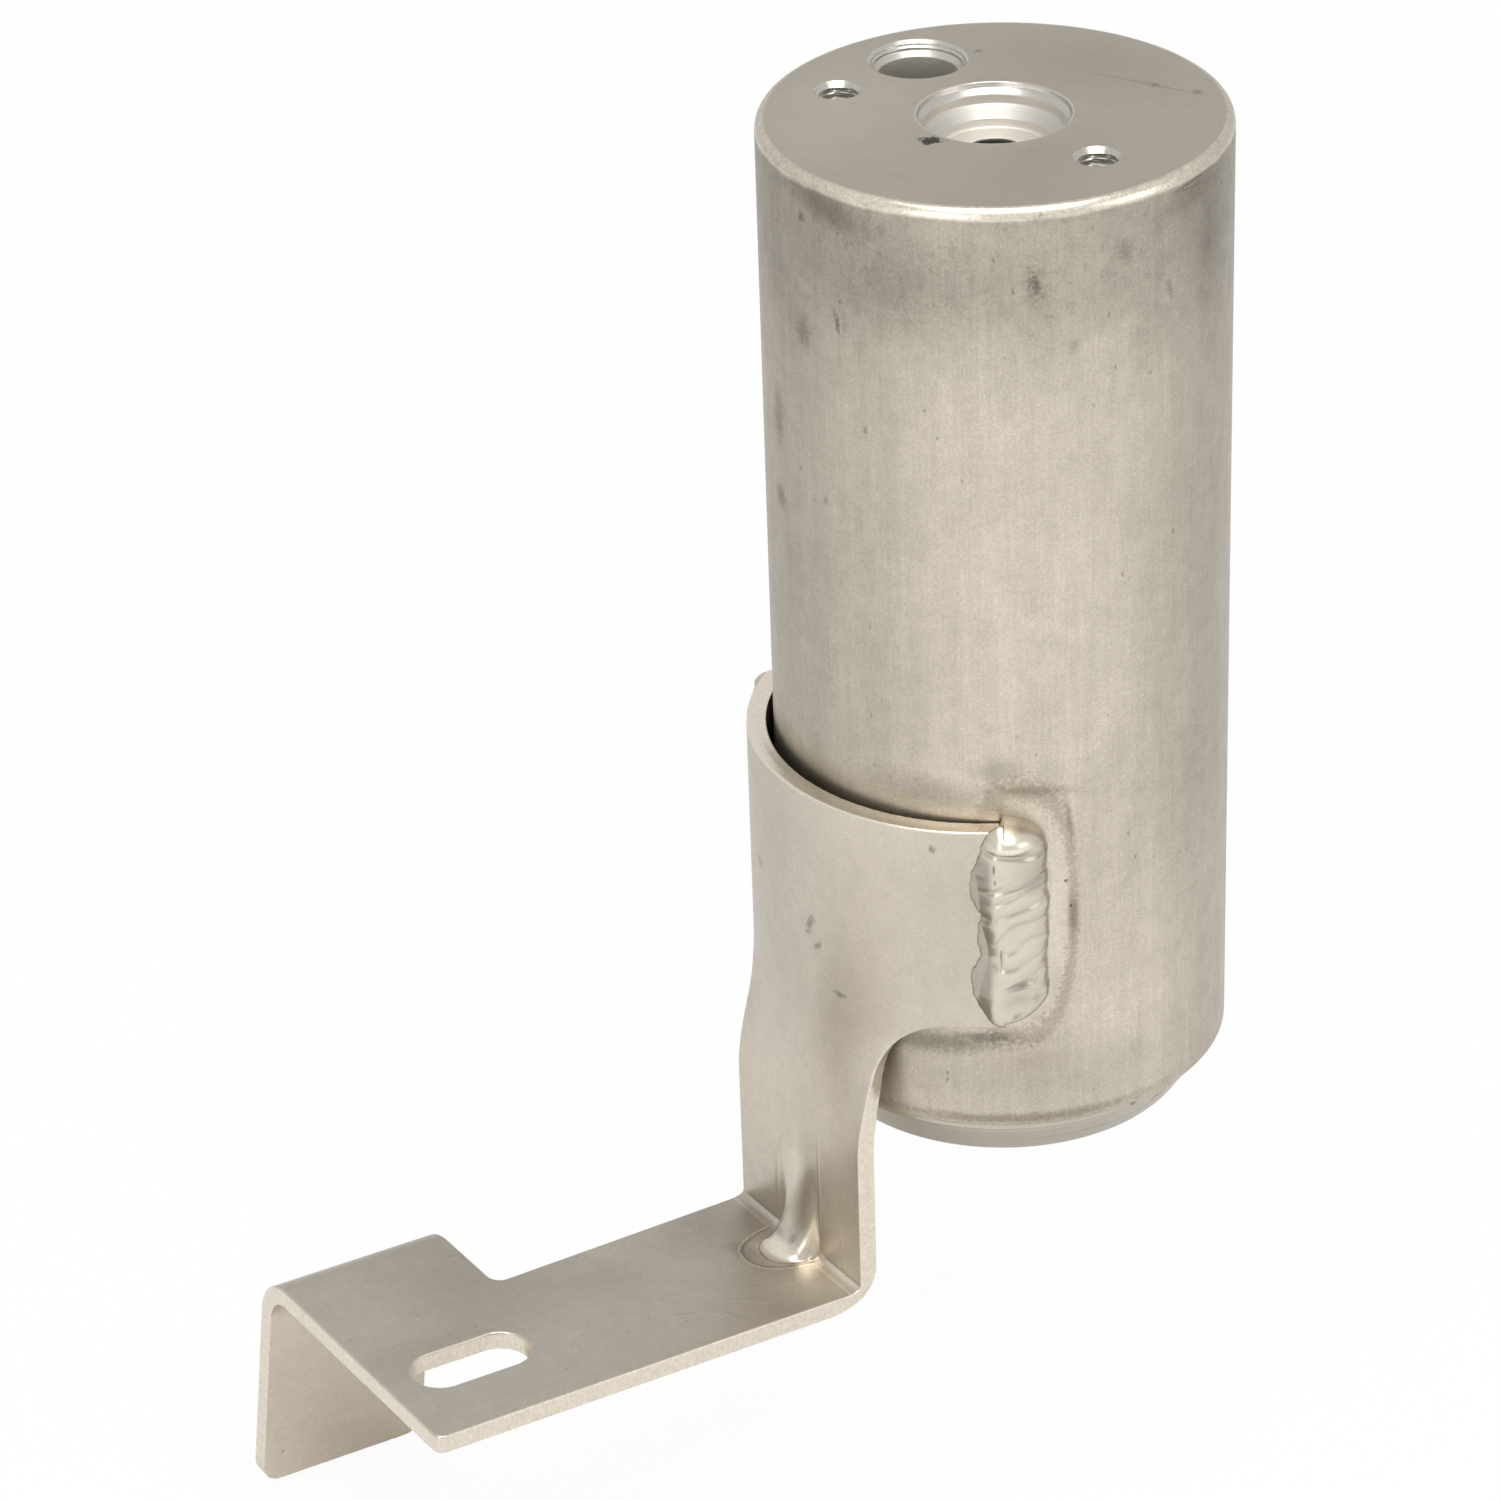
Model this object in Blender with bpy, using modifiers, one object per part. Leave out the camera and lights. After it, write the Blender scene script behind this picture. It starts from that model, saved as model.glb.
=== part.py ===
"""Receiver drier: an impact-extruded aluminium can with a ported head, a turned bottom cap,
a folded sheet bracket welded on at both ends of its saddle, and the filter stack inside.

Metres, +Z up. The origin is the centre of the can's flat bottom. The foot plate points to -X,
and the side flange hangs on its +Y side.
"""
import math

import bmesh
import bpy
from mathutils import Matrix, Vector

MM = 0.001
FIT_GAP = 0.3 * MM

# Can
CAN_RADIUS = 32.5 * MM
CAN_BORE_RADIUS = 30.0 * MM
CAN_TOP = 150.0 * MM
CAN_OPEN_END = 7.4 * MM
CAN_END_BREAK = 0.5 * MM
FACE_RADIUS = 31.3 * MM
SHOULDER_DROP = 1.7 * MM
HEAD_UNDERSIDE = 128.0 * MM
HEAD_INNER_FILLET = 3.0 * MM
CAN_STEPS = 64

# Centre port, depths below the head face
PORT_RIM_RADIUS = 11.5 * MM
PORT_BEVEL_RADIUS = 10.4 * MM
PORT_BEVEL_DEPTH = 0.15 * MM
PORT_MOUTH_RADIUS = 9.6 * MM
PORT_MOUTH_DEPTH = 0.5 * MM
PORT_SEAT_TOP = 1.7 * MM
PORT_SEAT_RADIUS = 8.9 * MM
PORT_SEAT_DEPTH = 2.1 * MM
PORT_PILOT_RADIUS = 7.5 * MM
PORT_PILOT_TOP = 2.7 * MM
PORT_PILOT_DEPTH = 5.1 * MM
TUBE_BORE_RADIUS = 5.0 * MM

# Offset port, a stepped hole through the head
OFFSET_PORT_CENTRE = Vector((2.4 * MM, 21.4 * MM, 0.0))
OFFSET_PORT_STEPS = ((7.1, 0.0), (6.5, 0.4), (6.5, 0.7), (6.2, 0.9), (6.2, 1.3), (5.5, 2.0))

# Tapped holes for the hose block's screws, drilled and chamfered
SCREW_HOLE_CENTRES = (Vector((-12.6 * MM, 19.1 * MM, 0.0)), Vector((2.0 * MM, -20.4 * MM, 0.0)))
SCREW_HOLE_RADIUS = 2.6 * MM
SCREW_CHAMFER_RADIUS = 3.35 * MM
SCREW_HOLE_DEPTH = 14.0 * MM
DRILL_POINT_DEPTH = 1.5 * MM

# Bottom cap
CAP_PLUG_RADIUS = CAN_BORE_RADIUS - FIT_GAP
CAP_PLUG_TOP = 13.0 * MM
CAP_RING_RADIUS = 25.5 * MM
CAP_FLOOR = 6.0 * MM
CAP_FLOOR_RADIUS = 22.0 * MM
CAP_BAND_RADIUS = 30.6 * MM
CAP_BAND_BOTTOM = 5.8 * MM
CAP_FOOT_RADIUS = 27.1 * MM
CAP_FOOT_BREAK = 0.4 * MM

# Bracket sheet. The blank is laid out flat: u runs from the saddle's top edge down the leg and out
# along the foot plate, v runs across, and the sheet's faces lie half a thickness either side.
SHEET = 2.8 * MM
SADDLE_TOP = 58.0 * MM
SADDLE_BOTTOM = 26.15 * MM
SADDLE_INNER_RADIUS = 31.35 * MM
SADDLE_CENTRE_OFFSET = 2.69 * MM
SADDLE_HALF_ANGLE = math.radians(58.0)
SADDLE_FADE_START = 23.5 * MM
SADDLE_FADE_END = 2.7 * MM
LEG_HALF_WIDTH = 15.55 * MM
LEG_FILLET = 11.3 * MM
BEND_INNER_RADIUS = 1.0 * MM
BEND_CENTRE_Z = -18.9 * MM
FOOT_RISE = math.radians(3.8)
FOOT_END_X = -108.0 * MM
FOOT_CORNER = 1.5 * MM
FOOT_REAR_Y = 14.2 * MM
NECK_FILLET = 2.0 * MM
FLANGE_START_X = -80.8 * MM
FLANGE_BEND_Y = 27.7 * MM
FLANGE_OUTER_RADIUS = 7.3 * MM
FLANGE_ANGLE = math.radians(84.2)
FLANGE_STRAIGHT = 31.4 * MM
FLANGE_CORNER = 3.0 * MM
SLOT_CENTRE_X = -94.1 * MM
SLOT_CENTRE_Y = -1.0 * MM
SLOT_LENGTH = 18.6 * MM
SLOT_WIDTH = 8.6 * MM

# The bend is pressed nearly sharp inside and well rounded outside. Each face leaves the leg this far
# above the corner where its flat faces would meet, and joins the plate this far beyond it.
BEND_INNER_UP = 1.0 * MM
BEND_INNER_OUT = 2.5 * MM
BEND_OUTER_UP = 7.0 * MM
BEND_OUTER_OUT = 9.5 * MM

# Dart pressed up out of the bend, which stiffens the corner. Its ridge leaves the leg DART_UP above
# the corner and meets the plate DART_OUT beyond it.
DART_UP = 18.6 * MM
DART_OUT = 6.5 * MM
DART_LEG_HALF_WIDTH = 4.4 * MM
DART_LEG_SHIFT = -0.4 * MM
DART_FOOT_HALF_WIDTH = 4.2 * MM
DART_FOOT_SHIFT = -0.1 * MM
DART_ROUNDNESS = 2.6
DART_FULLNESS = 0.31
DART_FLANK_SOFTNESS = 0.08
DART_CELLS = 14

# Weld beads at the saddle's ends
WELD_BOTTOM = 26.5 * MM
WELD_TOP = 59.0 * MM
WELD_ON_SADDLE = 3.6 * MM
WELD_ON_CAN = 6.6 * MM
WELD_CROWN = 1.3 * MM
WELD_END_ROUND = 6.0 * MM
WELD_EDGE_GAP = 0.5 * MM

# Inner stack, from the cap up
TUBE_RADIUS = TUBE_BORE_RADIUS - FIT_GAP
TUBE_INNER_RADIUS = 3.7 * MM
TUBE_BOTTOM = 12.5 * MM
TUBE_TOP = 144.2 * MM
TUBE_BEAD_RADIUS = 6.4 * MM
TUBE_BEAD_HEIGHT = 2.2 * MM
STACK_RADIUS = 29.5 * MM
PLATE_SHEET = 1.5 * MM
LOWER_PLATE_TOP = 22.0 * MM
PAD_HEIGHT = 6.0 * MM
BED_HEIGHT = 66.0 * MM
STACK_STEPS = 40
# Plate holes as (ring radius in millimetres, count), outside the spring's seat
HOLE_RINGS = ((16.5, 10), (23.5, 14))
PLATE_HOLE_RADIUS = 2.2 * MM
PLATE_HOLE_SIDES = 8
# The spring stays inside the offset port's opening in the head's underside.
SPRING_WIRE_RADIUS = 1.1 * MM
SPRING_RADIUS = 12.0 * MM
SPRING_TURNS = 4.0
SPRING_FLAT_TURNS = 0.5
SPRING_POINTS_A_TURN = 16
STRAINER_RADIUS = 9.0 * MM
STRAINER_BOTTOM = 6.7 * MM
STRAINER_WALL = 0.9 * MM
STRAINER_COLLAR_RADIUS = 6.2 * MM
STRAINER_COLLAR_TOP = 19.6 * MM
STRAINER_WINDOWS = 6

parts = None
cutters = None


def clear_scene():
    for obj in list(bpy.data.objects):
        bpy.data.objects.remove(obj, do_unlink=True)


def make_collection(name):
    collection = bpy.data.collections.new(name)
    bpy.context.scene.collection.children.link(collection)
    return collection


def make_material(name, color, metallic, roughness):
    material = bpy.data.materials.new(name)
    material.use_nodes = True
    shader = material.node_tree.nodes["Principled BSDF"]
    shader.inputs["Base Color"].default_value = (*color, 1.0)
    shader.inputs["Metallic"].default_value = metallic
    shader.inputs["Roughness"].default_value = roughness
    return material


def add_object(name, data, collection, material=None):
    obj = bpy.data.objects.new(name, data)
    collection.objects.link(obj)
    if material:
        data.materials.append(material)
    return obj


def as_cutter(obj):
    obj.hide_render = True
    obj.display_type = "WIRE"
    return obj


def shade(mesh, angle_deg=35.0):
    mesh.shade_smooth()
    mesh.set_sharp_from_angle(angle=math.radians(angle_deg))


def arc_points(centre, radii, start_deg, end_deg, count):
    """Points on an ellipse's arc, count segments long, both ends included."""
    points = []
    for i in range(count + 1):
        a = math.radians(start_deg + (end_deg - start_deg) * i / count)
        points.append((centre[0] + radii[0] * math.cos(a), centre[1] + radii[1] * math.sin(a)))
    return points


def turned(name, profile, closed, steps, collection, material=None):
    """A turned piece: a profile of (radius, z) that runs down its outer side, under a Screw modifier."""
    bm = bmesh.new()
    verts = [bm.verts.new((r, 0.0, z)) for r, z in profile]
    for first, second in zip(verts, verts[1:]):
        bm.edges.new((first, second))
    if closed:
        bm.edges.new((verts[-1], verts[0]))
    mesh = bpy.data.meshes.new(name)
    bm.to_mesh(mesh)
    bm.free()
    obj = add_object(name, mesh, collection, material)
    screw = obj.modifiers.new("Turn", "SCREW")
    screw.axis = "Z"
    screw.steps = steps
    screw.render_steps = steps
    screw.use_merge_vertices = True
    screw.merge_threshold = 0.00001
    screw.use_smooth_shade = True
    return obj


def cut(obj, cutter):
    boolean = obj.modifiers.new("Cut " + cutter.name, "BOOLEAN")
    boolean.operation = "DIFFERENCE"
    boolean.solver = "EXACT"
    boolean.object = cutter


def make_vessel(material):
    """The can and its head in one piece, with the centre port turned in and the other holes cut."""
    top = CAN_TOP
    shoulder = arc_points(
        (FACE_RADIUS, top - SHOULDER_DROP), (CAN_RADIUS - FACE_RADIUS, SHOULDER_DROP), 90.0, 0.0, 4)
    ceiling = arc_points(
        (CAN_BORE_RADIUS - HEAD_INNER_FILLET, HEAD_UNDERSIDE - HEAD_INNER_FILLET),
        (HEAD_INNER_FILLET, HEAD_INNER_FILLET), 0.0, 90.0, 3)
    profile = shoulder + [
        (CAN_RADIUS, CAN_OPEN_END + CAN_END_BREAK),
        (CAN_RADIUS - CAN_END_BREAK, CAN_OPEN_END),
        (CAN_BORE_RADIUS, CAN_OPEN_END),
    ] + ceiling + [
        (TUBE_BORE_RADIUS, HEAD_UNDERSIDE),
        (TUBE_BORE_RADIUS, top - PORT_PILOT_DEPTH),
        (PORT_PILOT_RADIUS, top - PORT_PILOT_DEPTH),
        (PORT_PILOT_RADIUS, top - PORT_PILOT_TOP),
        (PORT_SEAT_RADIUS, top - PORT_SEAT_DEPTH),
        (PORT_MOUTH_RADIUS, top - PORT_SEAT_TOP),
        (PORT_MOUTH_RADIUS, top - PORT_MOUTH_DEPTH),
        (PORT_BEVEL_RADIUS, top - PORT_BEVEL_DEPTH),
        (PORT_RIM_RADIUS, top),
    ]
    vessel = turned("vessel", profile, True, CAN_STEPS, parts, material)
    cut(vessel, make_offset_port_cutter())
    for index, centre in enumerate(SCREW_HOLE_CENTRES):
        cut(vessel, make_screw_hole_cutter(index, centre))
    return vessel


def make_offset_port_cutter():
    """A stepped drill that goes through the head beside the centre port."""
    over = 2.0 * MM
    mouth = OFFSET_PORT_STEPS[0][0] * MM
    profile = [(0.0, CAN_TOP + over), (mouth, CAN_TOP + over)]
    profile += [(r * MM, CAN_TOP - depth * MM) for r, depth in OFFSET_PORT_STEPS]
    bore = OFFSET_PORT_STEPS[-1][0] * MM
    profile += [(bore, HEAD_UNDERSIDE - over), (0.0, HEAD_UNDERSIDE - over)]
    cutter = as_cutter(turned("offset_port_cutter", profile, False, 40, cutters))
    cutter.location = OFFSET_PORT_CENTRE
    return cutter


def make_screw_hole_cutter(index, centre):
    """A drilled blind hole with a chamfered mouth and a conical drill point."""
    over = 2.0 * MM
    chamfer = SCREW_CHAMFER_RADIUS - SCREW_HOLE_RADIUS
    profile = [
        (0.0, CAN_TOP + over),
        (SCREW_CHAMFER_RADIUS, CAN_TOP + over),
        (SCREW_CHAMFER_RADIUS, CAN_TOP),
        (SCREW_HOLE_RADIUS, CAN_TOP - chamfer),
        (SCREW_HOLE_RADIUS, CAN_TOP - SCREW_HOLE_DEPTH),
        (0.0, CAN_TOP - SCREW_HOLE_DEPTH - DRILL_POINT_DEPTH),
    ]
    cutter = as_cutter(turned(f"screw_hole_cutter_{index + 1}", profile, False, 24, cutters))
    cutter.location = centre
    return cutter


def make_bottom_cap(material):
    """Turned cap: a plug inside the can, a band that tapers to the flat bottom, and a sump on top."""
    plug_break = 0.7 * MM
    shelf = CAN_OPEN_END - FIT_GAP
    profile = [
        (0.0, CAP_FLOOR),
        (CAP_FLOOR_RADIUS, CAP_FLOOR),
        (CAP_RING_RADIUS - plug_break, CAP_FLOOR + 2.2 * MM),
        (CAP_RING_RADIUS, CAP_PLUG_TOP),
        (CAP_PLUG_RADIUS - plug_break, CAP_PLUG_TOP),
        (CAP_PLUG_RADIUS, CAP_PLUG_TOP - plug_break),
        (CAP_PLUG_RADIUS, shelf),
        (CAP_BAND_RADIUS, shelf),
        (CAP_BAND_RADIUS, CAP_BAND_BOTTOM),
        (CAP_FOOT_RADIUS, CAP_FOOT_BREAK),
        (CAP_FOOT_RADIUS - CAP_FOOT_BREAK, 0.0),
        (0.0, 0.0),
    ]
    return turned("bottom_cap", profile, False, CAN_STEPS, parts, material)


class FoldedSheet:
    """Folds the flat blank: saddle curve, fading curve, bend with its pressed dart, plate, flange."""

    def __init__(self):
        half = SHEET / 2
        self.half = half
        self.saddle_radius = SADDLE_INNER_RADIUS + half
        self.leg_x = -(SADDLE_CENTRE_OFFSET + self.saddle_radius)
        self.saddle_half = self.saddle_radius * SADDLE_HALF_ANGLE
        self.bend_radius = BEND_INNER_RADIUS + half
        self.bend_angle = math.pi / 2 + FOOT_RISE
        self.bend_centre_x = self.leg_x - self.bend_radius
        self.bend_start = SADDLE_TOP - BEND_CENTRE_Z
        self.bend_end = self.bend_start + self.bend_radius * self.bend_angle
        self.down = Vector((math.cos(self.bend_angle), 0.0, -math.sin(self.bend_angle)))
        self.out = Vector((-math.cos(FOOT_RISE), 0.0, math.sin(FOOT_RISE)))
        self.bend_centre = Vector((self.bend_centre_x, 0.0, BEND_CENTRE_Z))
        self.plate_start = self.bend_centre + self.bend_radius * self.down
        self.inner_corner = self.corner(-half)
        self.outer_corner = self.corner(half)
        self.dart_top = SADDLE_TOP - self.inner_corner.z - DART_UP
        self.dart_low = min(DART_LEG_SHIFT - DART_LEG_HALF_WIDTH, DART_FOOT_SHIFT - DART_FOOT_HALF_WIDTH)
        self.dart_high = max(DART_LEG_SHIFT + DART_LEG_HALF_WIDTH, DART_FOOT_SHIFT + DART_FOOT_HALF_WIDTH)
        self.inner_start = SADDLE_TOP - self.inner_corner.z - BEND_INNER_UP
        self.inner_end = self.u_on_plate(self.inner_corner, -half) + BEND_INNER_OUT
        self.outer_start = SADDLE_TOP - self.outer_corner.z - BEND_OUTER_UP
        self.outer_end = self.u_on_plate(self.outer_corner, half) + BEND_OUTER_OUT
        self.dart_end = max(self.outer_end, self.u_on_plate(self.inner_corner, -half) + DART_OUT)
        self.flange_radius = FLANGE_OUTER_RADIUS - half
        self.flange_arc = self.flange_radius * FLANGE_ANGLE
        self.flange_end = FLANGE_BEND_Y + self.flange_arc + FLANGE_STRAIGHT

    def u_at_z(self, z):
        return SADDLE_TOP - z

    def u_at_x(self, x):
        """The blank's u for a place x on the foot plate."""
        return self.bend_end + (self.plate_start.x - x) / math.cos(FOOT_RISE)

    def saddle_curvature(self, u):
        """Full in the saddle, then fading to the flat leg."""
        start = self.u_at_z(SADDLE_FADE_START)
        end = self.u_at_z(SADDLE_FADE_END)
        return (1.0 - smooth_step((u - start) / (end - start))) / self.saddle_radius

    def corner(self, w):
        """Where the leg's and the plate's flat faces at w would meet without a bend."""
        x = self.leg_x + w
        on_plate = self.plate_start + w * self.down
        return on_plate + (x - on_plate.x) / self.out.x * self.out

    def u_on_plate(self, place, w):
        """The blank's u for a place on the plate's flat face at w, carried on past its end."""
        return self.bend_end + (place - self.plate_start - w * self.down).dot(self.out)

    def fillet_lengths(self, v, w):
        """How far up the leg and out along the plate the face at w is rounded, at v across."""
        inner = w < 0.0
        up = BEND_INNER_UP if inner else BEND_OUTER_UP
        out = BEND_INNER_OUT if inner else BEND_OUTER_OUT
        thickness = w + self.half
        on_leg = dart_rise((v - DART_LEG_SHIFT) / DART_LEG_HALF_WIDTH)
        on_foot = dart_rise((v - DART_FOOT_SHIFT) / DART_FOOT_HALF_WIDTH)
        up += (DART_UP + thickness - up) * on_leg
        out += (DART_OUT + thickness - out) * on_foot
        return up, out

    def bend_point(self, u, v, w):
        """A face's place in the bend: down the leg, round a parabola into the plate, then along it."""
        corner = self.inner_corner if w < 0.0 else self.outer_corner
        up, out = self.fillet_lengths(v, w)
        start = SADDLE_TOP - corner.z - up
        end = self.u_on_plate(corner, w) + out
        across = Vector((0.0, v, 0.0))
        if u <= start:
            return Vector((corner.x, v, SADDLE_TOP - u))
        if u >= end:
            return self.plate_start + w * self.down + (u - self.bend_end) * self.out + across
        t = (u - start) / (end - start)
        return corner + up * (1.0 - t) ** 2 * Vector((0.0, 0.0, 1.0)) + out * t ** 2 * self.out + across

    def point(self, u, v, w):
        """The folded place of the blank's point (u, v), w off the middle towards the can's side."""
        if u <= self.dart_top:
            return self.leg_point(u, v, w)
        if u < self.dart_end:
            inner = self.bend_point(u, v, -self.half)
            outer = self.bend_point(u, v, self.half)
            return inner.lerp(outer, (w + self.half) / SHEET)
        along = self.plate_start + (u - self.bend_end) * self.out
        if v <= FLANGE_BEND_Y:
            return along + w * self.down + Vector((0.0, v, 0.0))
        angle = min((v - FLANGE_BEND_Y) / self.flange_radius, FLANGE_ANGLE)
        straight = max(0.0, v - FLANGE_BEND_Y - self.flange_arc)
        radius = self.flange_radius - w
        y = FLANGE_BEND_Y + radius * math.sin(angle) + straight * math.cos(angle)
        drop = self.flange_radius - radius * math.cos(angle) + straight * math.sin(angle)
        return along + drop * self.down + Vector((0.0, y, 0.0))

    def leg_point(self, u, v, w):
        """Saddle and leg: a bent strip whose curve fades, or a flat one once the curve is gone."""
        z = SADDLE_TOP - u
        curvature = self.saddle_curvature(u)
        if curvature < 0.001:
            return Vector((self.leg_x + w, v, z))
        radius = 1.0 / curvature
        angle = v * curvature
        x = self.leg_x + radius - (radius - w) * math.cos(angle)
        return Vector((x, (radius - w) * math.sin(angle), z))


def smooth_step(t):
    t = min(max(t, 0.0), 1.0)
    return t * t * (3.0 - 2.0 * t)


def dart_rise(across):
    """The dart's section: 1 on its ridge and falling steeply to 0 at its sides, across = -1 and 1."""
    inside = max(0.0, 1.0 - abs(across) ** DART_ROUNDNESS)
    flank = (1.0 + DART_FLANK_SOFTNESS) * inside / (inside + DART_FLANK_SOFTNESS)
    return flank * inside ** DART_FULLNESS


def rounded_outline(corners, segments=6):
    """A closed outline from (u, v, radius) corners, each rounded by its radius."""
    points = []
    count = len(corners)
    for i, (u, v, radius) in enumerate(corners):
        corner = Vector((u, v))
        if radius <= 0.0:
            points.append(corner)
            continue
        before = (Vector(corners[i - 1][:2]) - corner).normalized()
        after = (Vector(corners[(i + 1) % count][:2]) - corner).normalized()
        half_angle = before.angle(after) / 2
        centre = corner + (before + after).normalized() * radius / math.sin(half_angle)
        start = corner + before * radius / math.tan(half_angle) - centre
        end = corner + after * radius / math.tan(half_angle) - centre
        turn = start.angle_signed(end)
        for k in range(segments + 1):
            points.append(centre + Matrix.Rotation(-turn * k / segments, 2) @ start)
    return points


def slot_outline(u, v, length, width, segments=10):
    """A slot along u with round ends."""
    radius = width / 2
    reach = length / 2 - radius
    points = []
    for side in (1, -1):
        for k in range(segments + 1):
            a = math.pi * k / segments - math.pi / 2
            along = side * (reach + radius * math.cos(a))
            points.append(Vector((u + along, v + side * radius * math.sin(a))))
    return points


def add_spline(curve, points):
    spline = curve.splines.new("POLY")
    spline.points.add(len(points) - 1)
    for target, point in zip(spline.points, points):
        target.co = (point[0], point[1], 0.0, 1.0)
    spline.use_cyclic_u = True


def mesh_from_curve(curve_obj, name):
    """The curve's filled shape as a welded mesh; the curve object is removed."""
    depsgraph = bpy.context.evaluated_depsgraph_get()
    depsgraph.update()
    mesh = bpy.data.meshes.new_from_object(curve_obj.evaluated_get(depsgraph))
    mesh.name = name
    bm = bmesh.new()
    bm.from_mesh(mesh)
    bm.transform(curve_obj.matrix_world)
    bmesh.ops.remove_doubles(bm, verts=bm.verts, dist=0.00001)
    bm.to_mesh(mesh)
    bm.free()
    bpy.data.objects.remove(curve_obj, do_unlink=True)
    return mesh


def slice_blank(bm, axis, value, low, high):
    """Adds a line of vertices across the faces between low and high on the other axis."""
    other = 1 - axis
    faces = []
    for face in bm.faces:
        along = [vert.co[other] for vert in face.verts]
        across = [vert.co[axis] for vert in face.verts]
        if min(along) > low - 1e-6 and max(along) < high + 1e-6 and min(across) < value < max(across):
            faces.append(face)
    if not faces:
        return
    edges = {edge for face in faces for edge in face.edges}
    verts = {vert for face in faces for vert in face.verts}
    normal = Vector((1.0, 0.0, 0.0)) if axis == 0 else Vector((0.0, 1.0, 0.0))
    bmesh.ops.bisect_plane(
        bm, geom=list(verts) + list(edges) + faces, dist=1e-6, plane_co=normal * value, plane_no=normal)


def stations(start, end, step):
    """Evenly spaced values strictly between start and end, no more than step apart."""
    count = max(1, math.ceil((end - start) / step))
    return [start + (end - start) * i / count for i in range(1, count)]


def crowded_stations(start, end, count):
    """Values from start to end that stand closer together towards both ends."""
    middle = (start + end) / 2
    reach = (end - start) / 2
    return [middle - reach * math.cos(math.pi * i / count) for i in range(count + 1)]


def make_bracket(material):
    """One sheet: cut as a flat blank with its slot, ruled with fold lines, then folded and pressed."""
    sheet = FoldedSheet()
    wide = sheet.saddle_half
    saddle_foot = sheet.u_at_z(SADDLE_BOTTOM)
    plate_end = sheet.u_at_x(FOOT_END_X)
    neck = sheet.u_at_x(FLANGE_START_X)
    outline = rounded_outline([
        (0.0, -wide, 0.0),
        (0.0, wide, 0.0),
        (saddle_foot, wide, 0.0),
        (saddle_foot, LEG_HALF_WIDTH, LEG_FILLET),
        (sheet.bend_end, LEG_HALF_WIDTH, 0.0),
        (neck, FOOT_REAR_Y, NECK_FILLET),
        (neck, sheet.flange_end, FLANGE_CORNER),
        (plate_end, sheet.flange_end, FLANGE_CORNER),
        (plate_end, -LEG_HALF_WIDTH, FOOT_CORNER),
        (saddle_foot, -LEG_HALF_WIDTH, LEG_FILLET),
        (saddle_foot, -wide, 0.0),
    ])
    curve = bpy.data.curves.new("bracket_blank", "CURVE")
    curve.dimensions = "2D"
    curve.fill_mode = "BOTH"
    curve.extrude = sheet.half
    add_spline(curve, outline)
    add_spline(curve, slot_outline(sheet.u_at_x(SLOT_CENTRE_X), SLOT_CENTRE_Y, SLOT_LENGTH, SLOT_WIDTH))
    blank = add_object("bracket_blank", curve, parts)
    mesh = mesh_from_curve(blank, "mounting_bracket")

    bm = bmesh.new()
    bm.from_mesh(mesh)
    rule_fold_lines(bm, sheet)
    for vert in bm.verts:
        vert.co = sheet.point(*vert.co)
    bmesh.ops.triangulate(bm, faces=[face for face in bm.faces if len(face.verts) > 3])
    bmesh.ops.recalc_face_normals(bm, faces=bm.faces)
    bm.to_mesh(mesh)
    bm.free()
    shade(mesh, 32.0)
    return add_object("mounting_bracket", mesh, parts, material)


def rule_fold_lines(bm, sheet):
    """Slices the blank where it will bend, closer together where the bend is tighter."""
    wide = sheet.saddle_half
    fade_start = sheet.u_at_z(SADDLE_FADE_START)
    fade_end = sheet.u_at_z(SADDLE_FADE_END)
    far = sheet.flange_end
    for u in (fade_start, fade_end, sheet.dart_top, sheet.dart_end):
        slice_blank(bm, 0, u, -far, far)
    for u in stations(fade_start, fade_end, 3.4 * MM):
        slice_blank(bm, 0, u, -far, far)
    for v in stations(-wide, wide, 3.4 * MM):
        slice_blank(bm, 1, v, 0.0, fade_end)
    bend_lines = [sheet.outer_start, sheet.inner_start, sheet.inner_end, sheet.outer_end]
    bend_lines += stations(sheet.outer_start, sheet.inner_start, 1.2 * MM)
    bend_lines += stations(sheet.inner_start, sheet.inner_end, 0.7 * MM)
    bend_lines += stations(sheet.inner_end, sheet.outer_end, 1.2 * MM)
    for u in bend_lines:
        slice_blank(bm, 0, u, -far, far)
    for v in crowded_stations(sheet.dart_low, sheet.dart_high, DART_CELLS):
        slice_blank(bm, 1, v, sheet.dart_top, sheet.dart_end)
    for u in stations(sheet.dart_top, sheet.outer_start, 1.6 * MM):
        slice_blank(bm, 0, u, sheet.dart_low, sheet.dart_high)
    for u in stations(sheet.outer_end, sheet.dart_end, 1.2 * MM):
        slice_blank(bm, 0, u, sheet.dart_low, sheet.dart_high)
    bend_end = FLANGE_BEND_Y + sheet.flange_arc
    flange_lines = [FLANGE_BEND_Y, bend_end]
    flange_lines += stations(FLANGE_BEND_Y, bend_end, sheet.flange_radius * math.radians(12.0))
    for v in flange_lines:
        slice_blank(bm, 1, v, sheet.dart_end, sheet.u_at_x(FOOT_END_X))


def make_weld(name, side, material):
    """A fillet weld lofted up the saddle's end: over the sheet's edge and down onto the can."""
    sections = []
    steps = 18
    height = WELD_TOP - WELD_BOTTOM
    for i in range(steps + 1):
        # Cosine spacing puts more sections in the rounded ends.
        z = WELD_BOTTOM + height * (1.0 - math.cos(math.pi * i / steps)) / 2
        from_end = min(z - WELD_BOTTOM, WELD_TOP - z)
        t = 1.0 - min(from_end / WELD_END_ROUND, 1.0)
        size = max(0.3, math.sqrt(1.0 - t * t))
        sections.append([weld_point(side, a, h, z) for a, h in weld_section(size)])
    mesh = loft(name, sections)
    shade(mesh, 50.0)
    return add_object(name, mesh, parts, material)


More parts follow.
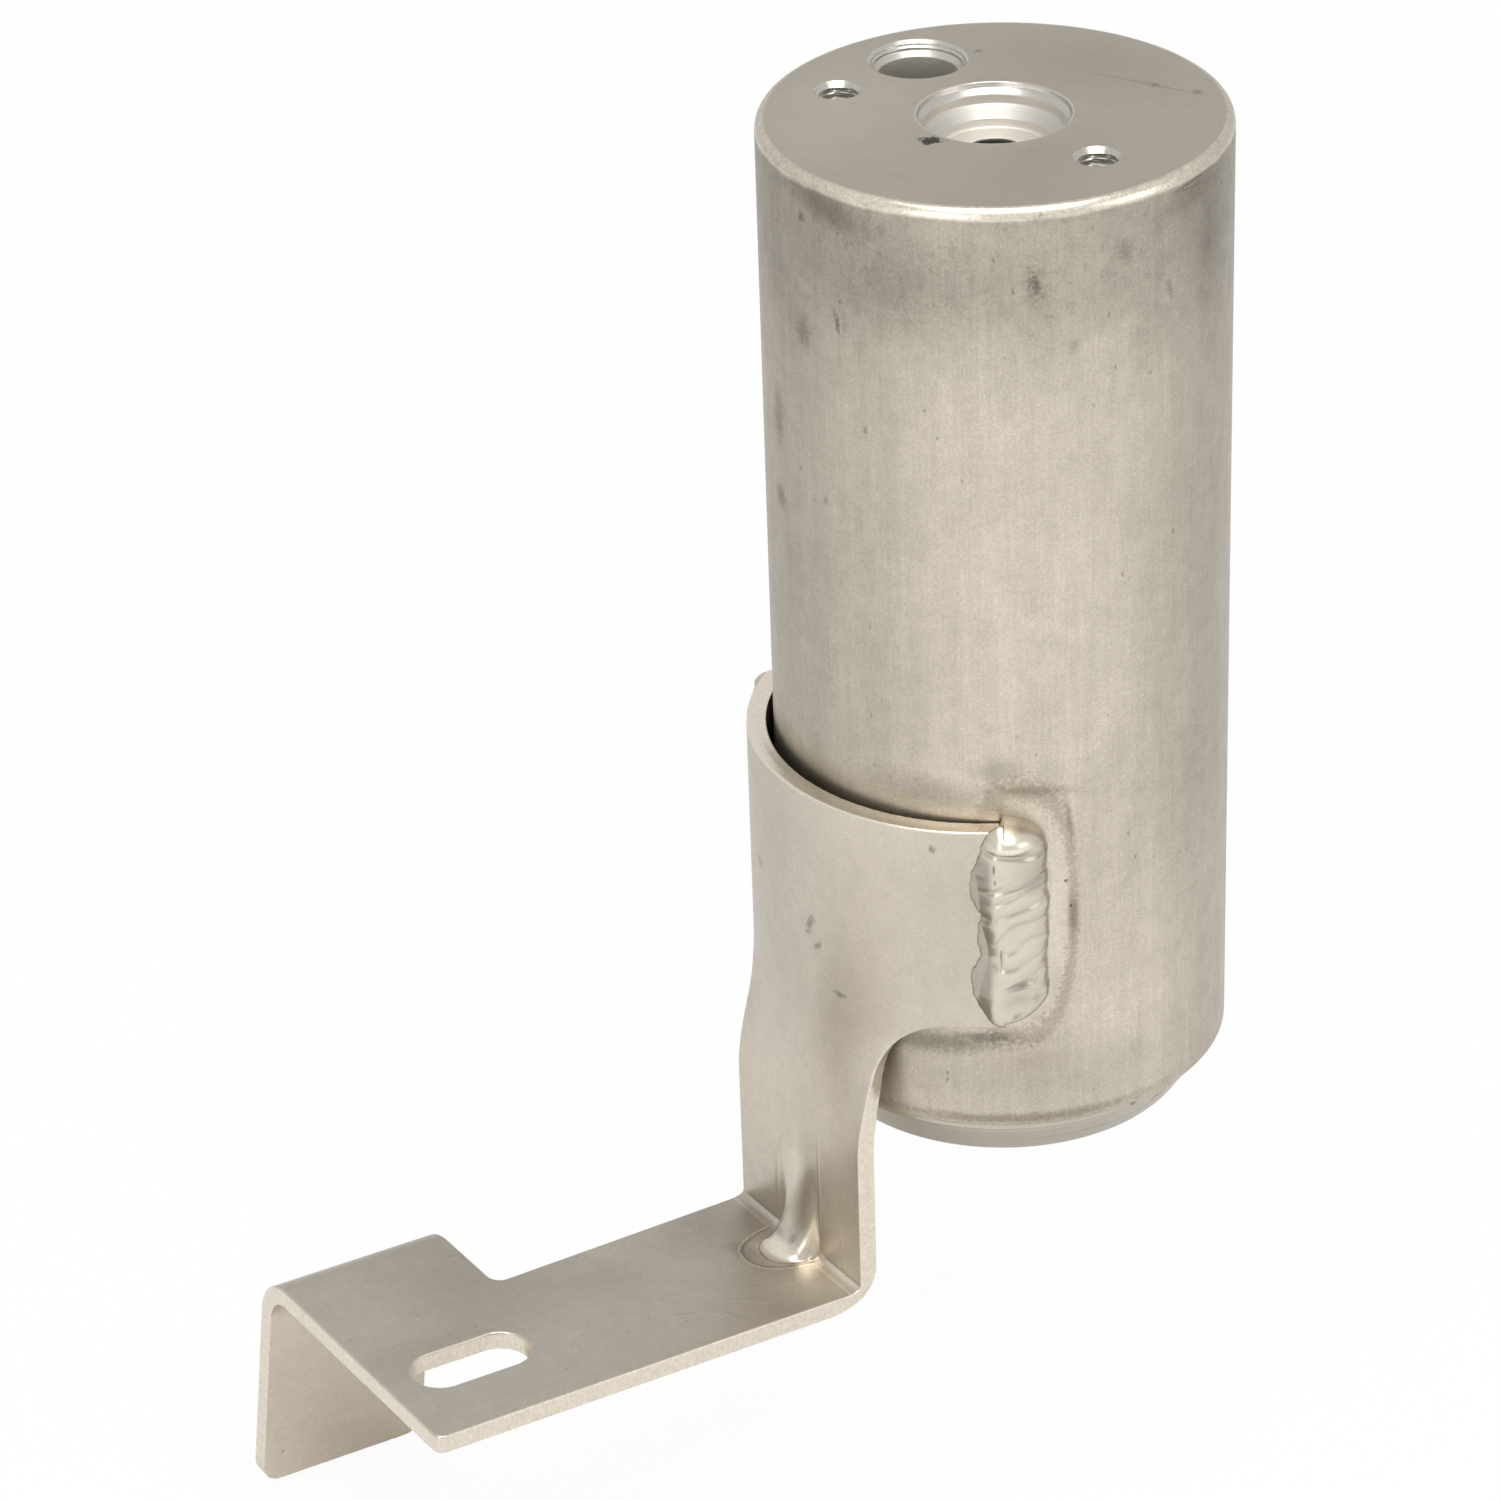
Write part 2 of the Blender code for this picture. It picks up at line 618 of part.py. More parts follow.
def saddle_end_azimuth():
    """Azimuth, from the -X side, where the saddle's inner face ends."""
    reach = Vector((
        SADDLE_CENTRE_OFFSET + SADDLE_INNER_RADIUS * math.cos(SADDLE_HALF_ANGLE),
        SADDLE_INNER_RADIUS * math.sin(SADDLE_HALF_ANGLE)))
    return math.atan2(reach.y, reach.x)


def sheet_height(along):
    """Height of the saddle's outer face above the can, along millimetres past the sheet's end."""
    azimuth = saddle_end_azimuth() + along / CAN_RADIUS
    offset = SADDLE_CENTRE_OFFSET
    outer = SADDLE_INNER_RADIUS + SHEET
    radius = offset * math.cos(azimuth) + math.sqrt(outer ** 2 - (offset * math.sin(azimuth)) ** 2)
    return radius - CAN_RADIUS


def weld_section(size):
    """The bead's section as (distance past the sheet's end, height above the can)."""
    on_sheet = -WELD_ON_SADDLE * size
    on_can = WELD_ON_CAN * size
    edge = WELD_EDGE_GAP
    seat = FIT_GAP + 0.05 * MM
    under = [
        (on_sheet, sheet_height(on_sheet) + seat),
        (on_sheet / 2, sheet_height(on_sheet / 2) + seat),
        (edge, sheet_height(0.0) + seat),
        (edge, seat),
        ((edge + on_can) / 2, seat),
        (on_can, seat),
    ]
    crown = sheet_height(0.0) + seat + 0.4 * MM + WELD_CROWN * size
    over = []
    for x, z in arc_points((edge, seat), (on_can + 0.3 * MM - edge, crown - seat), 5.0, 90.0, 6):
        over.append((x, z))
    low = sheet_height(on_sheet) + seat
    for x, z in arc_points((edge, low), (edge - on_sheet + 0.3 * MM, crown - low), 90.0, 172.0, 4)[1:]:
        over.append((x, z))
    return under + over


def weld_point(side, along, height, z):
    azimuth = math.pi - side * (saddle_end_azimuth() + along / CAN_RADIUS)
    radius = CAN_RADIUS + height
    return Vector((radius * math.cos(azimuth), radius * math.sin(azimuth), z))


def loft(name, sections):
    """A closed skin through rings of equal point count, with flat ends."""
    bm = bmesh.new()
    rings = [[bm.verts.new(point) for point in section] for section in sections]
    count = len(rings[0])
    for lower, upper in zip(rings, rings[1:]):
        for i in range(count):
            j = (i + 1) % count
            bm.faces.new((lower[i], lower[j], upper[j], upper[i]))
    bm.faces.new(rings[0])
    bm.faces.new(rings[-1])
    bmesh.ops.triangulate(bm, faces=bm.faces)
    bmesh.ops.recalc_face_normals(bm, faces=bm.faces)
    mesh = bpy.data.meshes.new(name)
    bm.to_mesh(mesh)
    bm.free()
    return mesh


def make_pick_up_tube(material):
    """Straight tube from the head's bore to the sump, with an upset bead under the head."""
    bead_top = HEAD_UNDERSIDE - FIT_GAP
    bead_bottom = bead_top - TUBE_BEAD_HEIGHT
    bead_middle = bead_bottom + TUBE_BEAD_HEIGHT / 2
    profile = [
        (TUBE_RADIUS, TUBE_TOP),
        (TUBE_RADIUS, bead_top),
        (TUBE_BEAD_RADIUS - 0.6 * MM, bead_top - 0.2 * MM),
        (TUBE_BEAD_RADIUS, bead_middle),
        (TUBE_BEAD_RADIUS - 0.6 * MM, bead_bottom + 0.2 * MM),
        (TUBE_RADIUS, bead_bottom),
        (TUBE_RADIUS, TUBE_BOTTOM),
        (TUBE_INNER_RADIUS, TUBE_BOTTOM),
        (TUBE_INNER_RADIUS, TUBE_TOP),
    ]
    return turned("pick_up_tube", profile, True, 32, parts, material)


def make_strainer(material):
    """A cup clipped to the tube's lower end, with windows round its wall."""
    wall = STRAINER_WALL
    inner = STRAINER_RADIUS - wall
    shoulder_low = 14.2 * MM
    shoulder_high = 16.6 * MM
    profile = [
        (0.0, STRAINER_BOTTOM + wall),
        (inner, STRAINER_BOTTOM + wall),
        (inner, shoulder_low - 0.4 * MM),
        (TUBE_BORE_RADIUS, shoulder_high - 0.4 * MM),
        (TUBE_BORE_RADIUS, STRAINER_COLLAR_TOP),
        (STRAINER_COLLAR_RADIUS, STRAINER_COLLAR_TOP),
        (STRAINER_COLLAR_RADIUS, shoulder_high),
        (STRAINER_RADIUS, shoulder_low),
        (STRAINER_RADIUS, STRAINER_BOTTOM + 0.5 * MM),
        (STRAINER_RADIUS - 0.5 * MM, STRAINER_BOTTOM),
        (0.0, STRAINER_BOTTOM),
    ]
    strainer = turned("tube_strainer", profile, False, 36, parts, material)
    cut(strainer, make_window_cutter())
    return strainer


def make_window_cutter():
    """Radial blocks that open the strainer's windows."""
    window_width = 5.0 * MM
    window_height = 4.4 * MM
    middle_z = 11.0 * MM
    bm = bmesh.new()
    for i in range(STRAINER_WINDOWS):
        turn = Matrix.Rotation(math.tau * i / STRAINER_WINDOWS, 4, "Z")
        place = turn @ Matrix.Translation((STRAINER_RADIUS, 0.0, middle_z))
        size = Matrix.Diagonal((6.0 * MM, window_width, window_height, 1.0))
        bmesh.ops.create_cube(bm, size=1.0, matrix=place @ size)
    mesh = bpy.data.meshes.new("window_cutter")
    bm.to_mesh(mesh)
    bm.free()
    return as_cutter(add_object("window_cutter", mesh, cutters))


def make_hole_cutter(name, z):
    """A ring pattern of drills for a perforated plate whose middle lies at z."""
    bm = bmesh.new()
    for radius, count in HOLE_RINGS:
        for i in range(count):
            angle = math.tau * i / count
            place = Matrix.Translation((radius * MM * math.cos(angle), radius * MM * math.sin(angle), z))
            bmesh.ops.create_cone(
                bm, cap_ends=True, segments=PLATE_HOLE_SIDES, radius1=PLATE_HOLE_RADIUS,
                radius2=PLATE_HOLE_RADIUS, depth=4 * PLATE_SHEET, matrix=place)
    mesh = bpy.data.meshes.new(name)
    bm.to_mesh(mesh)
    bm.free()
    return as_cutter(add_object(name, mesh, cutters))


def make_lower_plate(material):
    """Perforated cup that stands on the cap's ring and carries the bed."""
    foot = CAP_PLUG_TOP + FIT_GAP
    edge = 1.0 * MM
    under = LOWER_PLATE_TOP - PLATE_SHEET
    profile = [
        (STACK_RADIUS - edge, LOWER_PLATE_TOP),
        (STACK_RADIUS, LOWER_PLATE_TOP - edge),
        (STACK_RADIUS, foot),
        (STACK_RADIUS - PLATE_SHEET, foot),
        (STACK_RADIUS - PLATE_SHEET, under),
        (TUBE_BORE_RADIUS, under),
        (TUBE_BORE_RADIUS, LOWER_PLATE_TOP),
    ]
    plate = turned("lower_plate", profile, True, STACK_STEPS, parts, material)
    cut(plate, make_hole_cutter("lower_plate_drills", LOWER_PLATE_TOP - PLATE_SHEET / 2))
    return plate


def make_upper_plate(bottom, material):
    """Flat perforated disc that the spring presses on the bed."""
    profile = ring_profile(bottom, bottom + PLATE_SHEET, STACK_RADIUS, 0.3 * MM)
    plate = turned("upper_plate", profile, True, STACK_STEPS, parts, material)
    cut(plate, make_hole_cutter("upper_plate_drills", bottom + PLATE_SHEET / 2))
    return plate


def ring_profile(bottom, top, radius, edge):
    """A flat ring round the tube, with its outer corners broken by edge."""
    return [
        (radius - edge, top),
        (radius, top - edge),
        (radius, bottom + edge),
        (radius - edge, bottom),
        (TUBE_BORE_RADIUS, bottom),
        (TUBE_BORE_RADIUS, top),
    ]


def make_spring(bottom, material):
    """Compression spring of round wire, its end turns laid flat."""
    low = bottom + SPRING_WIRE_RADIUS
    high = HEAD_UNDERSIDE - FIT_GAP - SPRING_WIRE_RADIUS
    count = round(SPRING_TURNS * SPRING_POINTS_A_TURN)
    curve = bpy.data.curves.new("bed_spring", "CURVE")
    curve.dimensions = "3D"
    curve.bevel_depth = SPRING_WIRE_RADIUS
    curve.bevel_resolution = 2
    curve.use_fill_caps = True
    spline = curve.splines.new("POLY")
    spline.points.add(count)
    for i in range(count + 1):
        turn = SPRING_TURNS * i / count
        rise = (turn - SPRING_FLAT_TURNS) / (SPRING_TURNS - 2 * SPRING_FLAT_TURNS)
        z = low + (high - low) * min(max(rise, 0.0), 1.0)
        angle = math.tau * turn
        spline.points[i].co = (SPRING_RADIUS * math.cos(angle), SPRING_RADIUS * math.sin(angle), z, 1.0)
    return add_object("bed_spring", curve, parts, material)


def make_inner_stack(materials):
    """Everything inside the can, stacked from the cap up to the head."""
    make_pick_up_tube(materials["tube"])
    make_strainer(materials["strainer"])
    make_lower_plate(materials["plate"])
    z = LOWER_PLATE_TOP + FIT_GAP
    layers = (
        ("lower_pad", PAD_HEIGHT, materials["felt"]),
        ("desiccant_charge", BED_HEIGHT, materials["beads"]),
        ("upper_pad", PAD_HEIGHT, materials["felt"]),
    )
    for name, height, material in layers:
        profile = ring_profile(z, z + height, STACK_RADIUS, 1.0 * MM)
        turned(name, profile, True, STACK_STEPS, parts, material)
        z += height + FIT_GAP
    make_upper_plate(z, materials["plate"])
    z += PLATE_SHEET + FIT_GAP
    make_spring(z, materials["spring"])


def main():
    global parts, cutters
    clear_scene()
    parts = make_collection("Receiver drier")
    cutters = make_collection("Cutters")
    can = make_material("extruded aluminium", (0.55, 0.54, 0.50), 0.75, 0.42)
    turned_metal = make_material("turned aluminium", (0.58, 0.57, 0.54), 0.9, 0.3)
    sheet_metal = make_material("sheet aluminium", (0.52, 0.51, 0.48), 0.75, 0.4)
    weld = make_material("weld metal", (0.62, 0.61, 0.58), 0.85, 0.35)
    inner = {
        "tube": make_material("drawn tube", (0.6, 0.6, 0.58), 0.9, 0.35),
        "strainer": make_material("strainer nylon", (0.75, 0.74, 0.68), 0.0, 0.5),
        "plate": make_material("perforated plate", (0.5, 0.5, 0.49), 0.9, 0.4),
        "felt": make_material("filter felt", (0.78, 0.76, 0.7), 0.0, 0.95),
        "beads": make_material("desiccant beads", (0.66, 0.55, 0.42), 0.0, 0.8),
        "spring": make_material("spring wire", (0.35, 0.35, 0.36), 0.9, 0.35),
    }
    make_vessel(can)
    make_bottom_cap(turned_metal)
    make_bracket(sheet_metal)
    make_weld("bracket_weld_front", -1, weld)
    make_weld("bracket_weld_rear", 1, weld)
    make_inner_stack(inner)


main()
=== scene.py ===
"""Visual model of the receiver drier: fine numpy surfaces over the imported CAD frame.

Sizes in the dataclasses are millimetres. +Z runs up the can, -X towards the foot plate, +Y towards
the side flange, and the origin is the centre of the can's flat bottom.
"""
import logging  # noqa: E402
import math  # noqa: E402
from dataclasses import dataclass, field  # noqa: E402
from enum import Enum  # noqa: E402

import bmesh  # noqa: E402
import bpy  # noqa: E402
import numpy as np  # noqa: E402
from mathutils import Matrix, Vector  # noqa: E402
from mathutils.geometry import delaunay_2d_cdt  # noqa: E402


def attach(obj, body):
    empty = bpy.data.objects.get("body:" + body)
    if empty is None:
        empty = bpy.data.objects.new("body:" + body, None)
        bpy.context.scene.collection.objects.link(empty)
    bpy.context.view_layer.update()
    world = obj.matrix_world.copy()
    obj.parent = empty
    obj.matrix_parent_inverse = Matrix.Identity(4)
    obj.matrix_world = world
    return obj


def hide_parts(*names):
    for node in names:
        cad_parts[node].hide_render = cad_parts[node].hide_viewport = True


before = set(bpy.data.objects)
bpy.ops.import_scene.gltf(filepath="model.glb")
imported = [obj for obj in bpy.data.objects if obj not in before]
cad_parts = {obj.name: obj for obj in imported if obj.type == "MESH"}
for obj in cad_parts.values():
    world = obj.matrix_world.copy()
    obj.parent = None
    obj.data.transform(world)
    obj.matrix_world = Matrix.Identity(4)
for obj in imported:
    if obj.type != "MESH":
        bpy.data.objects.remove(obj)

log = logging.getLogger("receiver_drier")

MM = 0.001  # metres
WAVES = 9  # plane waves in each wave noise
ARC_STEPS = 10  # sides of each rounded corner of a flat outline
Colour =tuple[float, float, float]
Array = np.ndarray


class Side(Enum):
    """Which end of the saddle a weld bead closes: the near end at -Y or the far end at +Y."""

    FRONT = -1
    REAR = 1


class Grain(Enum):
    """The lines that a piece's making leaves on its metal."""

    DRAWN = "drawn"
    TURNED = "turned"
    ROLLED = "rolled"


def smooth_step(low: float, high: float, value: Array) -> Array:
    """Eased ramp: 0 at low, 1 at high, level at both ends (3t^2 - 2t^3).

    Args:
        low: Where the ramp starts.
        high: Where the ramp ends.
        value: Where to read it.

    Returns:
        The ramp's height at each value.
    """
    t = np.clip((value - low) / (high - low), 0.0, 1.0)
    return t * t * (3.0 - 2.0 * t)


def wave_noise(points: Array, size: float, seed: int) -> Array:
    """Smooth noise: the mean of plane waves that run in random directions.

    Args:
        points: Places, one row of x, y, z each (any leading shape).
        size: Distance between the waves' crests.
        seed: Picks the directions and phases.

    Returns:
        Values of about -1 to 1, one per place.
    """
    rng = np.random.default_rng(seed)
    directions = rng.normal(size=(WAVES, 3))
    directions /= np.linalg.norm(directions, axis=1, keepdims=True)
    rates = 2.0 * np.pi / size * rng.uniform(0.6, 1.6, WAVES)
    phases = rng.uniform(0.0, 2.0 * np.pi, WAVES)
    total = np.sin(points @ (directions * rates[:, None]).T + phases)
    return total.sum(-1) * (1.4 / WAVES)


def rounded(profile: list[tuple[float, float]], radius: float, steps: int = 4) -> Array:
    """A turned profile with its inner corners eased by short curves.

    Each corner becomes a quadratic curve between points a short way along its two sides.

    Args:
        profile: Corners as (r, z).
        radius: How far along each side the curve starts, at most 40% of the side.
        steps: Points per curve.

    Returns:
        The profile's points.
    """
    corners = np.array(profile, float)
    points = [corners[:1]]
    t = np.linspace(0.0, 1.0, steps)[:, None]
    for before, corner, after in zip(corners, corners[1:], corners[2:]):
        back, ahead = before - corner, after - corner
        reach = min(radius, 0.4 * np.linalg.norm(back), 0.4 * np.linalg.norm(ahead))
        start = corner + back / np.linalg.norm(back) * reach
        end = corner + ahead / np.linalg.norm(ahead) * reach
        points.append((1 - t) ** 2 * start + 2 * t * (1 - t) * corner + t * t * end)
    points.append(corners[-1:])
    return np.vstack(points)


def resampled(points: Array, step: float, closed: bool = False) -> Array:
    """Adds points along a line so that no gap is longer than step.

    Args:
        points: The line's points, one row each.
        step: The longest gap.
        closed: Whether the last point joins the first.

    Returns:
        The line with every old point kept.
    """
    ends = np.roll(points, -1, axis=0) if closed else points[1:]
    starts = points if closed else points[:-1]
    out = []
    for a, b in zip(starts, ends):
        count = max(1, math.ceil(np.linalg.norm(b - a) / step))
        out.append(a + (b - a) * (np.arange(count) / count)[:, None])
    if not closed:
        out.append(points[-1:])
    return np.vstack(out)


def revolved(profile: Array, count: int, centre: tuple[float, float] = (0.0, 0.0)) -> Array:
    """A turned surface: every profile point carried round the axis.

    Args:
        profile: (r, z) rows.
        count: Points round the axis.
        centre: Where the axis stands.

    Returns:
        A grid of points, profile rows by angle columns.
    """
    angle = np.arange(count) / count * 2.0 * np.pi
    grid = np.empty((len(profile), count, 3))
    grid[..., 0] = profile[:, :1] * np.cos(angle) + centre[0]
    grid[..., 1] = profile[:, :1] * np.sin(angle) + centre[1]
    grid[..., 2] = profile[:, 1:2]
    return grid


def inside_loop(points: Array, loop: Array) -> Array:
    """Even-odd test: a point is inside when a ray from it crosses the loop an odd number of times.

    Args:
        points: Places as x, y rows.
        loop: A closed outline.

    Returns:
        True for each place inside.
    """
    a, b = loop, np.roll(loop, -1, axis=0)
    x, y = points[:, :1], points[:, 1:2]
    spans = (a[:, 1] > y) != (b[:, 1] > y)
    rise = np.where(a[:, 1] == b[:, 1], 1e-12, b[:, 1] - a[:, 1])
    crossing = x < (b[:, 0] - a[:, 0]) * (y - a[:, 1]) / rise + a[:, 0]
    return (spans & crossing).sum(1) % 2 == 1


def clear_of_loop(points: Array, loop: Array, margin: float) -> Array:
    """Whether each point is farther than margin from every side of the loop.

    Args:
        points: Places as x, y rows.
        loop: A closed outline.
        margin: The distance to keep.

    Returns:
        True for each clear place.
    """
    a, side = loop, np.roll(loop, -1, axis=0) - loop
    offset = points[:, None, :] - a[None]
    along = (offset * side).sum(-1) / np.maximum((side * side).sum(-1), 1e-12)
    nearest = offset - np.clip(along, 0.0, 1.0)[..., None] * side
    return (nearest ** 2).sum(-1).min(1) > margin * margin


def filled(loops: list[Array], inner: Array, margin: float) -> tuple[Array, Array]:
    """Triangles that fill an outline with holes, through the given inner points.

    Args:
        loops: The outline, then its holes.
        inner: Candidate points between them.
        margin: How far inner points keep from the loops.

    Returns:
        The points and the triangles' corner numbers.
    """
    keep = inside_loop(inner, loops[0]) & clear_of_loop(inner, loops[0], margin)
    for hole in loops[1:]:
        keep &= ~inside_loop(inner, hole) & clear_of_loop(inner, hole, margin)
    points = np.vstack(loops + [inner[keep]])
    edges, start = [], 0
    for loop in loops:
        index = np.arange(len(loop)) + start
        edges.append(np.stack([index, np.roll(index, -1)], -1))
        start += len(loop)
    made, _, faces, *_ = delaunay_2d_cdt(
        [Vector(p) for p in points], np.vstack(edges).tolist(), [], 0, 1e-6)
    made, faces = np.array(made, float), np.array(faces, int)
    middle = made[faces].mean(1)
    keep = inside_loop(middle, loops[0])
    for hole in loops[1:]:
        keep &= ~inside_loop(middle, hole)
    return made, faces[keep]


class SurfaceMesh:
    """Gathers numpy patches in millimetres and joins them into one closed mesh.

    Patches meet where their edge points coincide. Each point also carries what its material
    reads: a zone number from 0 to 1, and its place on the piece's own flat map, the chart.
    """

    def __init__(self, name: str) -> None:
        self.name = name
        self.points: list[Array] = []
        self.faces: list[list[int]] = []
        self.zones: list[Array] = []
        self.charts: list[Array] = []
        self.count = 0

    def _add_points(self, points: Array, zone: Array | float, chart: Array | None) -> None:
        self.points.append(points.reshape(-1, 3))
        self.zones.append(np.broadcast_to(zone, points.shape[:-1]).reshape(-1).astype(float))
        self.charts.append((np.zeros_like(points) if chart is None else chart).reshape(-1, 3))
        self.count += self.points[-1].shape[0]

    def add_grid(self, points: Array, zone: Array | float = 0.0,
                 chart: Array | None = None) -> None:
        """Adds a grid of points as quads. Its last column joins the first.

        Args:
            points: Rows by columns by 3.
            zone: The points' zone number.
            chart: The points' places on the piece's own flat map.
        """
        rows, columns = points.shape[:2]
        index = np.arange(rows * columns).reshape(rows, columns) + self.count
        index = np.hstack([index, index[:, :1]])
        quads = np.stack([index[:-1, :-1], index[:-1, 1:], index[1:, 1:], index[1:, :-1]], -1)
        self.faces += quads.reshape(-1, 4).tolist()
        self._add_points(points, zone, chart)

    def add_triangles(self, points: Array, faces: Array, chart: Array | None = None) -> None:
        """Adds triangles in zone 0.

        Args:
            points: One row per point.
            faces: Corner numbers into points.
            chart: The points' places on the piece's own flat map.
        """
        self.faces += (faces + self.count).tolist()
        self._add_points(points, 0.0, chart)

    def build(self, sharp: float, weld: float = 0.002) -> bpy.types.Object:
        """Joins the patches, turns the faces outwards and makes the object.

        Args:
            sharp: Edges steeper than this many degrees stay sharp.
            weld: Points closer than this become one.

        Returns:
            The finished object at the origin.
        """
        mesh = bpy.data.meshes.new(self.name)
        mesh.from_pydata((np.vstack(self.points) * MM).tolist(), [], self.faces)
        layer = mesh.attributes.new("zone", "FLOAT", "POINT")
        layer.data.foreach_set("value", np.concatenate(self.zones).astype(np.float32))
        layer = mesh.attributes.new("chart", "FLOAT_VECTOR", "POINT")
        layer.data.foreach_set("vector", np.vstack(self.charts).astype(np.float32).ravel())
        bm = bmesh.new()
        bm.from_mesh(mesh)
        bmesh.ops.remove_doubles(bm, verts=bm.verts, dist=weld * MM)
        bmesh.ops.dissolve_degenerate(bm, edges=bm.edges, dist=0.0002 * MM)
        bmesh.ops.recalc_face_normals(bm, faces=bm.faces)
        open_edges = sum(1 for edge in bm.edges if len(edge.link_faces) != 2)
        triangles = sum(len(face.verts) - 2 for face in bm.faces)
        bm.to_mesh(mesh)
        bm.free()
        mesh.shade_smooth()
        mesh.set_sharp_from_angle(angle=math.radians(sharp))
        obj = bpy.data.objects.new(self.name, mesh)
        bpy.context.scene.collection.objects.link(obj)
        log.info("%s: %d triangles, %d open edges", self.name, triangles, open_edges)
        return obj


class Graph:
    """Short calls that add linked nodes to one node tree."""

    def __init__(self, tree: bpy.types.NodeTree) -> None:
        self.tree = tree

    def node(self, kind: str, **settings: object) -> bpy.types.Node:
        """Adds a node and sets its own settings."""
        node = self.tree.nodes.new(kind)
        for key, value in settings.items():
            setattr(node, key, value)
        return node

    def feed(self, socket: bpy.types.NodeSocket, value: object) -> None:
        """Links a socket to the input, or sets its constant."""
        if isinstance(value, bpy.types.NodeSocket):
            self.tree.links.new(value, socket)
        else:
            socket.default_value = value

    def math(self, operation: str, *values: object) -> bpy.types.NodeSocket:
        """One arithmetic step on plain numbers."""
        node = self.node("ShaderNodeMath", operation=operation)
        for socket, value in zip(node.inputs, values):
            self.feed(socket, value)
        return node.outputs[0]

    def vector(self, operation: str, *values: object) -> bpy.types.NodeSocket:
        """One arithmetic step on vectors; LENGTH puts out a number."""
        node = self.node("ShaderNodeVectorMath", operation=operation)
        for socket, value in zip(node.inputs, values):
            self.feed(socket, value)
        return node.outputs["Value" if operation == "LENGTH" else "Vector"]

    def position(self) -> bpy.types.NodeSocket:
        """Object coordinates in millimetres."""
        coords = self.node("ShaderNodeTexCoord")
        return self.vector("MULTIPLY", coords.outputs["Object"], (1000.0, 1000.0, 1000.0))

    def split(self, vector: bpy.types.NodeSocket) -> tuple[bpy.types.NodeSocket, ...]:
        """The x, y and z of a vector."""
        node = self.node("ShaderNodeSeparateXYZ")
        self.feed(node.inputs[0], vector)
        return node.outputs[0], node.outputs[1], node.outputs[2]

    def joined(self, x: object, y: object, z: object) -> bpy.types.NodeSocket:
        """A vector from three numbers."""
        node = self.node("ShaderNodeCombineXYZ")
        for socket, value in zip(node.inputs, (x, y, z)):
            self.feed(socket, value)
        return node.outputs[0]

    def azimuth(self, x: object, y: object) -> bpy.types.NodeSocket:
        """The angle round the can's axis, from the -X side towards -Y."""
        return self.math("ARCTAN2", self.math("MULTIPLY", y, -1.0), self.math("MULTIPLY", x, -1.0))

    def noise(self, vector: object, scale: float, detail: float, roughness: float = 0.5,
              distortion: float = 0.0) -> bpy.types.NodeSocket:
        """Cloud noise of about 0 to 1."""
        node = self.node("ShaderNodeTexNoise")
        self.feed(node.inputs["Vector"], vector)
        node.inputs["Scale"].default_value = scale
        node.inputs["Detail"].default_value = detail
        node.inputs["Roughness"].default_value = roughness
        node.inputs["Distortion"].default_value = distortion
        return node.outputs["Fac"]

    def stir(self, vector: object, scale: float) -> bpy.types.NodeSocket:
        """Soft noise as three numbers, which moves places about."""
        node = self.node("ShaderNodeTexNoise")
        self.feed(node.inputs["Vector"], vector)
        node.inputs["Scale"].default_value = scale
        return node.outputs["Color"]

    def cells(self, vector: object, scale: float) -> bpy.types.NodeSocket:
        """Distance to the nearest of scattered points."""
        node = self.node("ShaderNodeTexVoronoi", feature="F1")
        self.feed(node.inputs["Vector"], vector)
        node.inputs["Scale"].default_value = scale
        return node.outputs["Distance"]

    def ramp(self, value: object, low: float, high: float, start: float = 0.0,
             end: float = 1.0) -> bpy.types.NodeSocket:
        """Eased ramp from start to end as value goes from low to high."""
        node = self.node("ShaderNodeMapRange", interpolation_type="SMOOTHSTEP", clamp=True)
        for socket, number in zip(node.inputs, (value, low, high, start, end)):
            self.feed(socket, number)
        return node.outputs[0]

    def mix(self, factor: object, a: object, b: object, blend: str = "MIX") -> bpy.types.NodeSocket:
        """A colour between a and b."""
        node = self.node("ShaderNodeMix", data_type="RGBA", blend_type=blend)
        self.feed(node.inputs[0], factor)
        self.feed(node.inputs[6], (*a, 1.0) if isinstance(a, tuple) else a)
        self.feed(node.inputs[7], (*b, 1.0) if isinstance(b, tuple) else b)
        return node.outputs[2]

    def bump(self, height: object, distance: float) -> bpy.types.NodeSocket:
        """A normal tilted by height, where distance is metres at height 1."""
        node = self.node("ShaderNodeBump")
        node.inputs["Strength"].default_value = 1.0
        node.inputs["Distance"].default_value = distance
        self.feed(node.inputs["Height"], height)
        return node.outputs[0]

    def zone(self) -> bpy.types.NodeSocket:
        """The mesh's zone number."""
        return self.node("ShaderNodeAttribute", attribute_name="zone").outputs["Fac"]

    def chart(self) -> bpy.types.NodeSocket:
        """The place on the piece's own flat map, in millimetres."""
        return self.node("ShaderNodeAttribute", attribute_name="chart").outputs["Vector"]

    def swing(self, value: object, amount: float) -> bpy.types.NodeSocket:
        """A factor round 1 from noise round a half: 1 + (value - 0.5) * amount."""
        return self.math("MULTIPLY_ADD", value, amount, 1.0 - amount / 2.0)

    def toned(self, level: object, mask: object, change: float) -> bpy.types.NodeSocket:
        """The level where the mask is 0, and (1 + change) times the level where it is 1."""
        return self.math("MULTIPLY", level, self.math("MULTIPLY_ADD", mask, change, 1.0))

    def product(self, *values: object) -> bpy.types.NodeSocket:
        """All the values multiplied together."""
        total = values[0]
        for value in values[1:]:
            total = self.math("MULTIPLY", total, value)
        return total

    def group(self, tree: bpy.types.NodeTree, **values: object) -> bpy.types.Node:
        """Places a shared node group and feeds its inputs by name."""
        node = self.node("ShaderNodeGroup", node_tree=tree)
        for key, value in values.items():
            self.feed(node.inputs[key], value)
        return node


